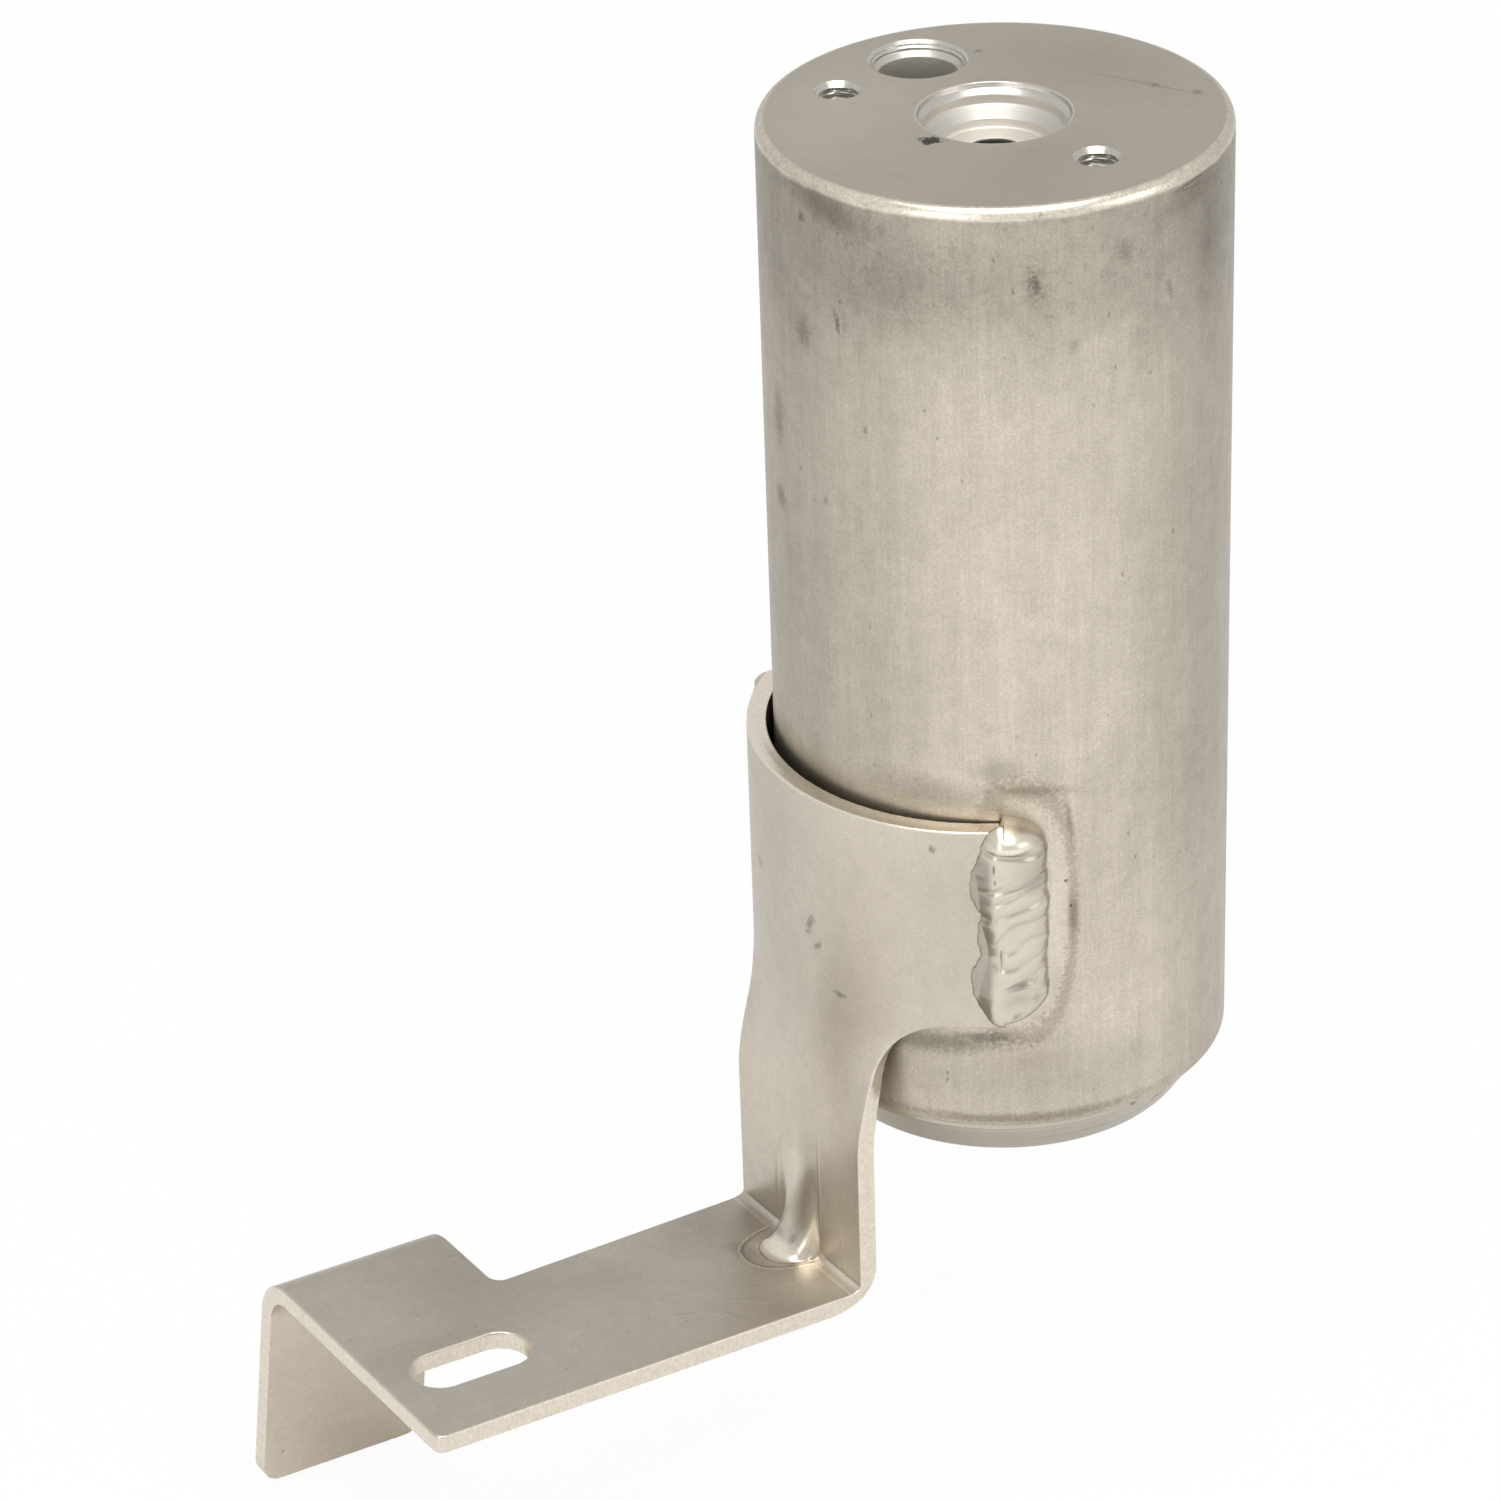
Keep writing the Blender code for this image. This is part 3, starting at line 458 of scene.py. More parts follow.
class EffectLibrary:
    """Shader node groups that several materials share. Each is made once, on first use."""

    def __init__(self) -> None:
        self.made: dict[str, bpy.types.NodeTree] = {}

    def _start(self, name: str, inputs: dict[str, float | None],
               outputs: tuple[str, ...]) -> tuple[Graph, bpy.types.Node, bpy.types.Node]:
        tree = bpy.data.node_groups.new(name, "ShaderNodeTree")
        for key, value in inputs.items():
            kind = "NodeSocketVector" if value is None else "NodeSocketFloat"
            socket = tree.interface.new_socket(key, in_out="INPUT", socket_type=kind)
            if value is not None:
                socket.default_value = value
        for key in outputs:
            tree.interface.new_socket(key, in_out="OUTPUT", socket_type="NodeSocketFloat")
        self.made[name] = tree
        return Graph(tree), tree.nodes.new("NodeGroupInput"), tree.nodes.new("NodeGroupOutput")

    def streaks(self) -> bpy.types.NodeTree:
        """Fine lines along Z: noise that is stretched 20 times up the axis."""
        if "streaks" not in self.made:
            graph, start, end = self._start("streaks", {"Vector": None}, ("Value",))
            x, y, z = graph.split(start.outputs["Vector"])
            stretched = graph.joined(x, y, graph.math("MULTIPLY", z, 0.05))
            fine = graph.noise(stretched, 2.2, 3.0, 0.6, 0.6)
            wide = graph.noise(stretched, 0.38, 2.0, 0.5, 0.4)
            total = graph.math("ADD", graph.math("MULTIPLY", fine, 0.5),
                               graph.math("MULTIPLY", wide, 0.5))
            graph.feed(end.inputs["Value"], total)
        return self.made["streaks"]

    def mottle(self) -> bpy.types.NodeTree:
        """Grainy skin: noise at about 15, 2.5 and 0.4 mm, each put out on its own."""
        if "mottle" not in self.made:
            graph, start, end = self._start("mottle", {"Vector": None},
                                            ("Clouds", "Blotches", "Grain"))
            vector = start.outputs["Vector"]
            graph.feed(end.inputs["Clouds"], graph.noise(vector, 0.06, 3.0, 0.6, 0.5))
            graph.feed(end.inputs["Blotches"], graph.noise(vector, 0.36, 4.0, 0.66, 0.3))
            graph.feed(end.inputs["Grain"], graph.noise(vector, 3.0, 2.0, 0.7))
        return self.made["mottle"]

    def mark(self) -> bpy.types.NodeTree:
        """One drawn mark with a ragged edge.

        The mask follows the root of (x / width)^power + (y / height)^power: a filled patch below
        1, or a line along 1 when Ring is its half width. Wander moves the edge in and out.
        """
        if "mark" not in self.made:
            graph, start, end = self._start("mark", {
                "Vector": None, "Centre": None, "Size": None, "Turn": 0.0, "Power": 2.0,
                "Ring": 0.0, "Soft": 0.3, "Ragged": 0.1, "Wander": 0.0}, ("Mask",))
            given = start.outputs
            turn = graph.node("ShaderNodeVectorRotate", rotation_type="Z_AXIS")
            graph.feed(turn.inputs["Vector"], graph.vector("SUBTRACT", given["Vector"],
                                                           given["Centre"]))
            graph.feed(turn.inputs["Angle"], given["Turn"])
            x, y, _ = graph.split(graph.vector("ABSOLUTE", graph.vector(
                "DIVIDE", turn.outputs[0], given["Size"])))
            total = graph.math("ADD", graph.math("POWER", x, given["Power"]),
                               graph.math("POWER", y, given["Power"]))
            reach = graph.math("POWER", total, graph.math("DIVIDE", 1.0, given["Power"]))
            reach = graph.math("MULTIPLY_ADD", given["Wander"], given["Ragged"], reach)
            patch = graph.ramp(reach, graph.math("ADD", 1.0, given["Soft"]),
                               graph.math("SUBTRACT", 1.0, given["Soft"]))
            off_line = graph.math("ABSOLUTE", graph.math("SUBTRACT", reach, 1.0))
            line = graph.ramp(off_line, given["Ring"], graph.math("MULTIPLY", given["Ring"], 0.2))
            drawn = graph.math("GREATER_THAN", given["Ring"], 0.0)
            mask = graph.math("ADD", graph.math("MULTIPLY", line, drawn), graph.math(
                "MULTIPLY", patch, graph.math("SUBTRACT", 1.0, drawn)))
            graph.feed(end.inputs["Mask"], mask)
        return self.made["mark"]

    def pits(self) -> bpy.types.NodeTree:
        """Small round pits: scattered cells whose random number passes a limit."""
        if "pits" not in self.made:
            graph, start, end = self._start(
                "pits", {"Vector": None, "Scale": 1.0, "Share": 0.1, "Size": 0.2}, ("Mask",))
            node = graph.node("ShaderNodeTexVoronoi", feature="F1")
            graph.feed(node.inputs["Vector"], graph.vector(
                "ADD", start.outputs["Vector"], graph.vector(
                    "MULTIPLY", graph.stir(start.outputs["Vector"], 2.4), (0.7, 0.7, 0.7))))
            graph.feed(node.inputs["Scale"], start.outputs["Scale"])
            red, _, _ = graph.split(node.outputs["Color"])
            chosen = graph.math("LESS_THAN", red, start.outputs["Share"])
            size = start.outputs["Size"]
            near = graph.ramp(node.outputs["Distance"], size, graph.math("MULTIPLY", size, 0.4))
            graph.feed(end.inputs["Mask"], graph.math("MULTIPLY", chosen, near))
        return self.made["pits"]

    def scratches(self) -> bpy.types.NodeTree:
        """Fine straight scratches: thin bands of noise stretched along one direction."""
        if "scratches" not in self.made:
            graph, start, end = self._start(
                "scratches", {"Vector": None, "Angle": 0.0, "Share": 0.5}, ("Mask",))
            turn = graph.node("ShaderNodeVectorRotate", rotation_type="Z_AXIS")
            graph.feed(turn.inputs["Vector"], start.outputs["Vector"])
            graph.feed(turn.inputs["Angle"], start.outputs["Angle"])
            bent = graph.vector("ADD", turn.outputs[0], graph.vector(
                "MULTIPLY", graph.stir(start.outputs["Vector"], 0.03), (1.2, 1.2, 0.0)))
            thin = graph.vector("MULTIPLY", bent, (0.05, 2.6, 0.05))
            line = graph.noise(thin, 1.0, 1.0, 0.4)
            crest = graph.ramp(graph.math("ABSOLUTE", graph.math("SUBTRACT", line, 0.5)),
                               0.012, 0.0)
            broken = graph.ramp(graph.noise(start.outputs["Vector"], 0.09, 2.0),
                                start.outputs["Share"], graph.math(
                                    "ADD", start.outputs["Share"], 0.08))
            graph.feed(end.inputs["Mask"], graph.math("MULTIPLY", crest, broken))
        return self.made["scratches"]

    def rings(self) -> bpy.types.NodeTree:
        """Turning lines: noise that changes only with the distance from an axis and with height."""
        if "rings" not in self.made:
            graph, start, end = self._start("rings", {"Vector": None, "Pitch": 0.3}, ("Value",))
            x, y, z = graph.split(start.outputs["Vector"])
            radius = graph.vector("LENGTH", graph.joined(x, y, 0.0))
            along = graph.math("DIVIDE", graph.math("ADD", radius, z), start.outputs["Pitch"])
            fine = graph.noise(graph.joined(along, 0.0, 0.0), 1.0, 3.0, 0.7)
            graph.feed(end.inputs["Value"], fine)
        return self.made["rings"]


@dataclass(frozen=True)
class Mark:
    """A patch or line on a piece's own flat map, in millimetres.

    Level multiplies the colour at the mark's middle, brown tints it and turn is in degrees. A ring
    above 0 draws only the outline.
    """

    centre: tuple[float, float]
    size: tuple[float, float]
    level: float = 0.7
    brown: float = 0.0
    turn: float = 0.0
    soft: float = 0.4
    ring: float = 0.0
    power: float = 2.0
    ragged: float = 0.4


@dataclass(frozen=True)
class MetalFinish:
    """How one kind of metal looks: colours are linear, roughness is the shader's own.

    Streaks, clouds, blotches and grain are how far each effect swings the colour.
    """

    name: str
    colour: Colour
    stain: Colour = (0.30, 0.24, 0.17)
    machined: Colour = (0.62, 0.595, 0.555)
    roughness: float = 0.4
    rough_swing: float = 0.25
    lines: Grain = Grain.ROLLED
    streaks: float = 0.1
    clouds: float = 0.2
    blotches: float = 0.15
    grain: float = 0.1
    grain_depth: float = 0.01
    specks: float = 0.05
    edge_level: float = 0.85
    metallic: float = 1.0


@dataclass(frozen=True)
class SoftFinish:
    """How a non-metal piece looks: a colour, and bumps of one size."""

    name: str
    colour: Colour
    shade: Colour
    roughness: float
    bump_scale: float
    bump_depth: float
    rounded_bumps: bool = False
    sheen: float = 0.0


CAN_FINISH = MetalFinish("can_metal", (0.580, 0.526, 0.440), roughness=0.42, lines=Grain.DRAWN,
                         streaks=0.46, clouds=0.26, blotches=0.28, grain=0.55, grain_depth=0.014,
                         specks=0.03, edge_level=0.80)
CAP_FINISH = MetalFinish("cap_metal", (0.52, 0.475, 0.40), roughness=0.32, lines=Grain.TURNED,
                         streaks=0.5, clouds=0.15, blotches=0.12, grain=0.08, grain_depth=0.012,
                         specks=0.02, edge_level=0.9)
SHEET_FINISH = MetalFinish("sheet_metal", (0.60, 0.548, 0.468), roughness=0.38, streaks=0.08,
                           clouds=0.12, blotches=0.18, grain=0.36, grain_depth=0.006,
                           specks=0.006, edge_level=0.92)
WELD_FINISH = MetalFinish("weld_metal", (0.63, 0.58, 0.49), roughness=0.28, streaks=0.0,
                          clouds=0.12, blotches=0.18, grain=0.08, grain_depth=0.004,
                          specks=0.02, edge_level=0.9)
TUBE_FINISH = MetalFinish("drawn_tube_metal", (0.60, 0.60, 0.58), roughness=0.3,
                          lines=Grain.DRAWN, streaks=0.3)
PLATE_FINISH = MetalFinish("perforated_steel", (0.50, 0.50, 0.49), roughness=0.35)
WIRE_FINISH = MetalFinish("spring_steel", (0.35, 0.35, 0.36), roughness=0.25, streaks=0.15)
NYLON_FINISH = SoftFinish("strainer_nylon_mesh", (0.75, 0.74, 0.68), (0.60, 0.58, 0.52), 0.5,
                          2.5, 0.05)
FELT_FINISH = SoftFinish("filter_felt_mat", (0.78, 0.76, 0.70), (0.62, 0.60, 0.54), 0.95, 1.8,
                         0.3, sheen=0.3)
BEAD_FINISH = SoftFinish("desiccant_bead_bed", (0.66, 0.55, 0.42), (0.45, 0.36, 0.26), 0.7, 0.5,
                         0.8, rounded_bumps=True)


@dataclass
class StraightPort:
    """The centre port: a turned counterbore that narrows to the pick-up tube's bore.

    Steps are (radius, depth) rows. The counterbore's wall has turning lines of its own.
    """

    steps: tuple[tuple[float, float], ...] = (
        (11.5, 0.0), (10.55, 0.1), (10.4, 0.85), (9.6, 1.6), (9.6, 2.9), (7.5, 4.25), (7.5, 5.5),
        (3.8, 5.5), (3.8, 5.75), (5.0, 5.75))
    corner: float = 0.14
    step: float = 0.12
    fine_depth: float = 6.0
    wall: float = 9.6
    line_pitch: float = 0.24
    line_depth: float = 0.02
    count: int = 192


@dataclass
class SteppedPort:
    """The offset port: stepped chamfers over a bore that goes through the head."""

    centre: tuple[float, float] = (2.4, 21.4)
    steps: tuple[tuple[float, float], ...] = (
        (7.1, 0.0), (6.5, 0.4), (6.5, 0.7), (6.2, 0.9), (6.2, 1.3), (5.5, 2.0))
    count: int = 144


@dataclass
class TappedHole:
    """A blind hole with a chamfer, a metric thread and a drill point."""

    centre: tuple[float, float]
    minor: float = 2.6
    major: float = 2.98
    chamfer: float = 3.35
    pitch: float = 1.0
    depth: float = 14.0
    point: float = 1.5
    fade: tuple[float, float] = (2.5, 0.5)
    fine_depth: float = 6.0
    fine_step: float = 0.125
    step: float = 0.25
    count: int = 72

    def surface(self, top: float) -> Array:
        """The hole's wall.

        The radius is the minor radius plus the thread's height times a triangle wave of
        (depth / pitch - angle / full turn), eased out near the bottom, and never less than the
        chamfer's cone, which loses one millimetre of radius per millimetre of depth.

        Args:
            top: Height of the head's face.

        Returns:
            A grid of points from the mouth down to the drill point's tip.
        """
        rows = np.concatenate([np.arange(0.0, self.fine_depth, self.fine_step),
                               np.arange(self.fine_depth, self.depth, self.step), [self.depth]])
        turn = np.arange(self.count) / self.count
        phase = (rows[:, None] / self.pitch - turn) % 1.0
        wave = np.clip(2.6 * np.abs(2.0 * phase - 1.0) - 0.8, 0.0, 1.0)
        fade = 1.0 - smooth_step(self.depth - self.fade[0], self.depth - self.fade[1],
                                 rows)[:, None]
        radius = self.minor + (self.major - self.minor) * wave * fade
        radius = np.maximum(radius, self.chamfer - rows[:, None])
        angle = turn * 2.0 * np.pi
        grid = np.empty((len(rows) + 1, self.count, 3))
        grid[:-1, :, 0] = radius * np.cos(angle) + self.centre[0]
        grid[:-1, :, 1] = radius * np.sin(angle) + self.centre[1]
        grid[:-1, :, 2] = top - rows[:, None]
        grid[-1] = (*self.centre, top - self.depth - self.point)
        return grid


@dataclass
class VesselShell:
    """The impact-extruded can with its machined head."""

    radius: float = 32.5
    bore: float = 30.0
    top: float = 150.0
    open_end: float = 7.4
    face_radius: float = 31.3
    shoulder_drop: float = 1.7
    underside: float = 128.0
    inner_fillet: float = 2.5
    tube_bore: float = 5.0
    lip_start: float = 1.6
    lip_chamfer: float = 0.35
    lip_width: float = 0.9
    fill_reach: float = 33.0
    fill_step: float = 1.3
    rows: int = 90
    count: int = 320
    port: StraightPort = field(default_factory=StraightPort)
    side_port: SteppedPort = field(default_factory=SteppedPort)
    holes: tuple[TappedHole, ...] = (TappedHole((-12.6, 19.1)), TappedHole((2.0, -20.4)))

    def outer_wall(self) -> Array:
        """The wall with the shoulder and the open end's broken edge.

        The wall's radius wavers by a few hundredths of a millimetre along the drawing direction,
        and the cut edge at the open end wavers by about a tenth.
        """
        t = np.linspace(0.0, np.pi / 2, 12)
        shoulder = np.stack([
            self.face_radius + (self.radius - self.face_radius) * np.sin(t),
            self.top - self.shoulder_drop + self.shoulder_drop * np.cos(t)], -1)
        low, edge = self.open_end + self.lip_start, self.lip_chamfer
        wall = np.stack([np.full(self.rows, self.radius), np.linspace(
            self.top - self.shoulder_drop - 0.6, low, self.rows)], -1)
        lip = rounded([(self.radius, low), (self.radius, self.open_end + edge),
                       (self.radius - edge, self.open_end),
                       (self.radius - self.lip_width, self.open_end)], 0.25, 5)[1:]
        grid = revolved(np.vstack([shoulder, wall, lip]), self.count)
        r = np.linalg.norm(grid[..., :2], axis=-1, keepdims=True)
        flat = grid / r
        flat[..., 2] = grid[..., 2] / 400.0
        waver = 0.02 * wave_noise(flat * self.radius, 14.0, 3)
        near_lip = 1.0 - smooth_step(self.open_end, self.open_end + 2.2, grid[..., 2])
        rough = wave_noise(grid, 2.3, 5) + 0.7 * wave_noise(grid, 1.1, 6)
        keep = smooth_step(self.face_radius, self.face_radius + 0.6, r[..., 0])
        waver = waver * keep + near_lip * 0.07 * rough
        grid[..., :2] *= 1.0 + (waver[..., None] - np.abs(waver[..., None])) / 2.0 / r
        grid[..., 2] += near_lip * 0.05 * (wave_noise(grid, 1.7, 8) + 1.0) * smooth_step(
            self.open_end - 0.1, self.open_end + 0.3, self.open_end + 0.5 - np.abs(
                grid[..., 2] - self.open_end))
        return grid

    def build(self) -> bpy.types.Object:
        """Builds the can, its ports and tapped holes as one closed skin.

        Returns:
            The vessel.
        """
        made = SurfaceMesh("can_and_head")
        outer = self.outer_wall()
        made.add_grid(outer)
        bore = rounded([(self.bore, self.open_end), (self.bore, 60.0),
                        (self.bore, self.underside - self.inner_fillet)], 0.2)
        t = np.linspace(0.0, np.pi / 2, 7)[1:]
        fillet = np.stack([self.bore - self.inner_fillet * (1.0 - np.cos(t)),
                           self.underside - self.inner_fillet * (1.0 - np.sin(t))], -1)
        inner = revolved(resampled(np.vstack([bore, fillet]), 8.0), self.count)
        made.add_grid(np.stack([outer[-1], inner[0]]))
        made.add_grid(inner)
        centre = revolved(self.port_profile(), self.port.count)
        made.add_grid(centre)
        side = revolved(self.side_profile(), self.side_port.count, self.side_port.centre)
        made.add_grid(side)
        holes = [hole.surface(self.top) for hole in self.holes]
        for grid in holes:
            made.add_grid(grid)
        line = np.arange(-self.fill_reach, self.fill_reach, self.fill_step)
        inner_points = np.stack(np.meshgrid(line, line), -1).reshape(-1, 2)
        face_loops = [outer[0, :, :2], centre[0, :, :2], side[0, :, :2]]
        face_loops += [hole[0, :, :2] for hole in holes]
        points, faces = filled(face_loops, inner_points, 0.5)
        made.add_triangles(np.column_stack([points, np.full(len(points), self.top)]), faces)
        low_loops = [inner[-1, :, :2], centre[-1, :, :2], side[-1, :, :2]]
        points, faces = filled(low_loops, inner_points, 0.6)
        made.add_triangles(np.column_stack([points, np.full(len(points), self.underside)]), faces)
        obj = made.build(sharp=32.0)
        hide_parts("vessel")
        return obj

    def port_profile(self) -> Array:
        """The centre port's profile with eased corners and fine turning steps on its wall."""
        port = self.port
        corners = [(r, self.top - depth) for r, depth in port.steps]
        corners.append((self.tube_bore, self.underside))
        profile = resampled(rounded(corners, port.corner), port.step)
        deep = profile[:, 1] < self.top - port.fine_depth
        kept = ~deep | (np.arange(len(profile)) % 8 == 0)
        kept[-1] = True
        profile = profile[kept]
        wall = (np.abs(profile[:, 0] - port.wall) < 0.01) & (profile[:, 1] < self.top - 0.6)
        lines = np.abs(np.sin(profile[wall, 1] * np.pi / port.line_pitch))
        profile[wall, 0] += port.line_depth * lines
        return profile

    def side_profile(self) -> Array:
        """The offset port's profile with eased corners."""
        corners = [(r, self.top - depth) for r, depth in self.side_port.steps]
        corners.append((self.side_port.steps[-1][0], self.underside))
        profile = rounded(corners, 0.1, 3)
        return np.vstack([profile[:-1], resampled(profile[-2:], 3.0)[1:]])


@dataclass
class BottomCap:
    """The turned cap in the can's open end."""

    plug_radius: float = 29.7
    plug_top: float = 13.0
    ring_radius: float = 25.5
    floor: float = 6.0
    floor_radius: float = 22.0
    shelf: float = 7.1
    band_radius: float = 30.6
    band_bottom: float = 5.8
    foot_radius: float = 27.1
    edge: float = 0.7
    groove_pitch: float = 0.42
    groove_depth: float = 0.028
    groove_step: float = 0.085
    count: int = 256

    def build(self) -> bpy.types.Object:
        """Builds the cap with turning grooves of the groove pitch on its outside.

        Returns:
            The cap.
        """
        outside = rounded([
            (self.plug_radius - self.edge, self.plug_top),
            (self.plug_radius, self.plug_top - self.edge), (self.plug_radius, self.shelf),
            (self.band_radius, self.shelf), (self.band_radius, self.band_bottom),
            (self.foot_radius, 0.4), (self.foot_radius - 0.4, 0.0), (0.0, 0.0)], 0.15)
        inside = rounded([
            (0.0, self.floor), (self.floor_radius, self.floor),
            (self.ring_radius - self.edge, self.floor + 2.2), (self.ring_radius, self.plug_top),
            (self.plug_radius - self.edge, self.plug_top)], 0.2)
        turned = (outside[:, 1] < self.shelf - 0.1) & (outside[:, 1] > 0.3)
        first, last = np.flatnonzero(turned)[[0, -1]]
        band = resampled(outside[first:last + 1], self.groove_step)
        groove = self.groove_depth * np.abs(np.sin(band[:, 1] * np.pi / self.groove_pitch))
        groove *= 0.6 + 0.4 * wave_noise(np.repeat(band[:, 1:], 3, 1), 1.3, 4)
        band[1:-1, 0] -= groove[1:-1]
        outside = np.vstack([outside[:first], band, outside[last + 1:]])
        made = SurfaceMesh("turned_bottom_cap")
        made.add_grid(revolved(np.vstack([inside, outside[1:]]), self.count))
        obj = made.build(sharp=40.0)
        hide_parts("bottom_cap")
        return obj


@dataclass(frozen=True)
class BracketSizes:
    """The folded sheet: u runs down the leg and out along the foot, v across, w through it."""

    sheet: float = 2.8
    saddle_top: float = 58.0
    saddle_bottom: float = 26.15
    saddle_inner: float = 31.35
    saddle_offset: float = 2.69
    saddle_angle: float = math.radians(58.0)
    fade_start: float = 23.5
    fade_end: float = 2.7
    leg_half: float = 15.55
    leg_fillet: float = 11.3
    bend_inner: float = 1.0
    bend_z: float = -18.9
    bend_inner_reach: tuple[float, float] = (1.0, 2.5)
    bend_outer_reach: tuple[float, float] = (7.0, 9.5)
    rise: float = math.radians(3.8)
    foot_end_x: float = -108.0
    foot_corner: float = 1.5
    foot_rear: float = 14.2
    neck_fillet: float = 2.0
    flange_start_x: float = -80.8
    flange_bend: float = 27.7
    flange_outer: float = 7.3
    flange_angle: float = math.radians(84.2)
    flange_straight: float = 31.4
    flange_corner: float = 3.0
    slot_x: float = -94.1
    slot_y: float = -1.0
    slot_length: float = 18.6
    slot_width: float = 8.6
    dart_reach: tuple[float, float] = (18.6, 6.5)
    dart_half: tuple[float, float] = (4.4, 4.2)
    dart_shift: tuple[float, float] = (-0.4, -0.1)
    dart_roundness: float = 2.6
    dart_fullness: float = 0.31
    dart_flank: float = 0.08
    coin_reach: tuple[float, float] = (19.0, 9.5)
    coin_half: float = 6.2
    coin_shift: float = 0.3
    coin_depth: float = 0.16


class FoldMap:
    """Carries points of the flat blank to their place on the folded sheet."""

    def __init__(self, size: BracketSizes) -> None:
        self.size = size
        self.half = size.sheet / 2
        self.saddle_radius = size.saddle_inner + self.half
        self.leg_x = -(size.saddle_offset + self.saddle_radius)
        self.saddle_half = self.saddle_radius * size.saddle_angle
        self.bend_radius = size.bend_inner + self.half
        self.bend_angle = math.pi / 2 + size.rise
        self.bend_centre = np.array([self.leg_x - self.bend_radius, 0.0, size.bend_z])
        self.bend_start = size.saddle_top - size.bend_z
        self.bend_end = self.bend_start + self.bend_radius * self.bend_angle
        self.down = np.array([math.cos(self.bend_angle), 0.0, -math.sin(self.bend_angle)])
        self.out = np.array([-math.cos(size.rise), 0.0, math.sin(size.rise)])
        self.plate_start = self.bend_centre + self.bend_radius * self.down
        inner, outer = self.corner(-self.half), self.corner(self.half)
        self.dart_top = size.saddle_top - inner[2] - size.dart_reach[0]
        self.dart_end = max(self.u_on_plate(inner, -self.half) + size.dart_reach[1],
                            self.u_on_plate(outer, self.half) + size.bend_outer_reach[1])
        first = size.saddle_top - inner[2] - size.coin_reach[0]
        last = self.u_on_plate(inner, -self.half) + size.coin_reach[1]
        self.coin_centre = ((first + last) / 2, size.coin_shift)
        self.coin_reach = ((last - first) / 2, size.coin_half)
        self.flange_radius = size.flange_outer - self.half
        self.flange_arc = self.flange_radius * size.flange_angle
        self.flange_end = size.flange_bend + self.flange_arc + size.flange_straight

    def u_at_z(self, z: float) -> float:
        """Distance down the blank where the leg passes height z."""
        return self.size.saddle_top - z

    def u_at_x(self, x: float) -> float:
        """Distance along the blank where the foot plate passes x."""
        return self.bend_end + (self.plate_start[0] - x) / math.cos(self.size.rise)

    def curvature(self, u: Array) -> Array:
        """The saddle's curvature, eased to nothing down the leg."""
        fade = smooth_step(self.u_at_z(self.size.fade_start), self.u_at_z(self.size.fade_end), u)
        return np.maximum(1e-7, (1.0 - fade) / self.saddle_radius)

    def corner(self, w: float) -> Array:
        """Where the leg's and the plate's flat faces at w would meet without a bend."""
        on_plate = self.plate_start + w * self.down
        return on_plate + (self.leg_x + w - on_plate[0]) / self.out[0] * self.out

    def u_on_plate(self, place: Array, w: float) -> float:
        """Distance along the blank for a place on the plate's flat face at w."""
        return self.bend_end + float((place - self.plate_start - w * self.down) @ self.out)

    def dart_rise(self, v: Array, end: int) -> Array:
        """The dart's section, on the leg (end 0) or on the plate (end 1).

        It is g / (g + flank) times g to the fullness, made 1 on the ridge, where g is one minus the
        way across to the power of the roundness.
        """
        s = self.size
        across = np.abs(v - s.dart_shift[end]) / s.dart_half[end]
        inside = np.clip(1.0 - across ** s.dart_roundness, 0.0, None)
        return (1.0 + s.dart_flank) * inside / (inside + s.dart_flank) * inside ** s.dart_fullness

    def coining(self, u: Array, v: Array) -> Array:
        """How deep the dart's die has pressed the border round the ridge.

        The border is the superellipse of the coin's centre and reach. Its edge is a short step and
        the ridge itself stands clear of it.
        """
        s = self.size
        across = np.abs(v - self.coin_centre[1]) / self.coin_reach[1]
        reach = (np.abs((u - self.coin_centre[0]) / self.coin_reach[0]) ** 2.6 + across ** 2.6)
        ridge = np.minimum(1.0, self.dart_rise(v, 0) * 3.0)
        on_plate = smooth_step(self.bend_start - 1.0, self.bend_end, u)
        return (s.coin_depth * (1.0 - smooth_step(0.86, 1.02, reach)) * (1.0 - 0.6 * ridge)
                * (0.3 + 0.7 * on_plate))

    def bend_face(self, u: Array, v: Array, w: float) -> Array:
        """One face of the bend: down the leg, round a parabola into the plate, then along it.

        The parabola leaves the leg a reach above the corner and joins the plate a reach beyond
        it. Both reaches grow from the bend's own to the dart's over the dart's section.
        """
        s = self.size
        corner, inner = self.corner(w), w < 0.0
        up, out = s.bend_inner_reach if inner else s.bend_outer_reach
        up = up + (s.dart_reach[0] + w + self.half - up) * self.dart_rise(v, 0)
        out = out + (s.dart_reach[1] + w + self.half - out) * self.dart_rise(v, 1)
        start = s.saddle_top - corner[2] - up
        end = self.u_on_plate(corner, w) + out
        t = np.clip((u - start) / (end - start), 0.0, 1.0)
        along = out * t ** 2 + np.maximum(u - end, 0.0)
        place = corner + along[:, None] * self.out
        place[:, 2] += up * (1.0 - t) ** 2 + np.maximum(start - u, 0.0)
        place[:, 1] = v
        return place

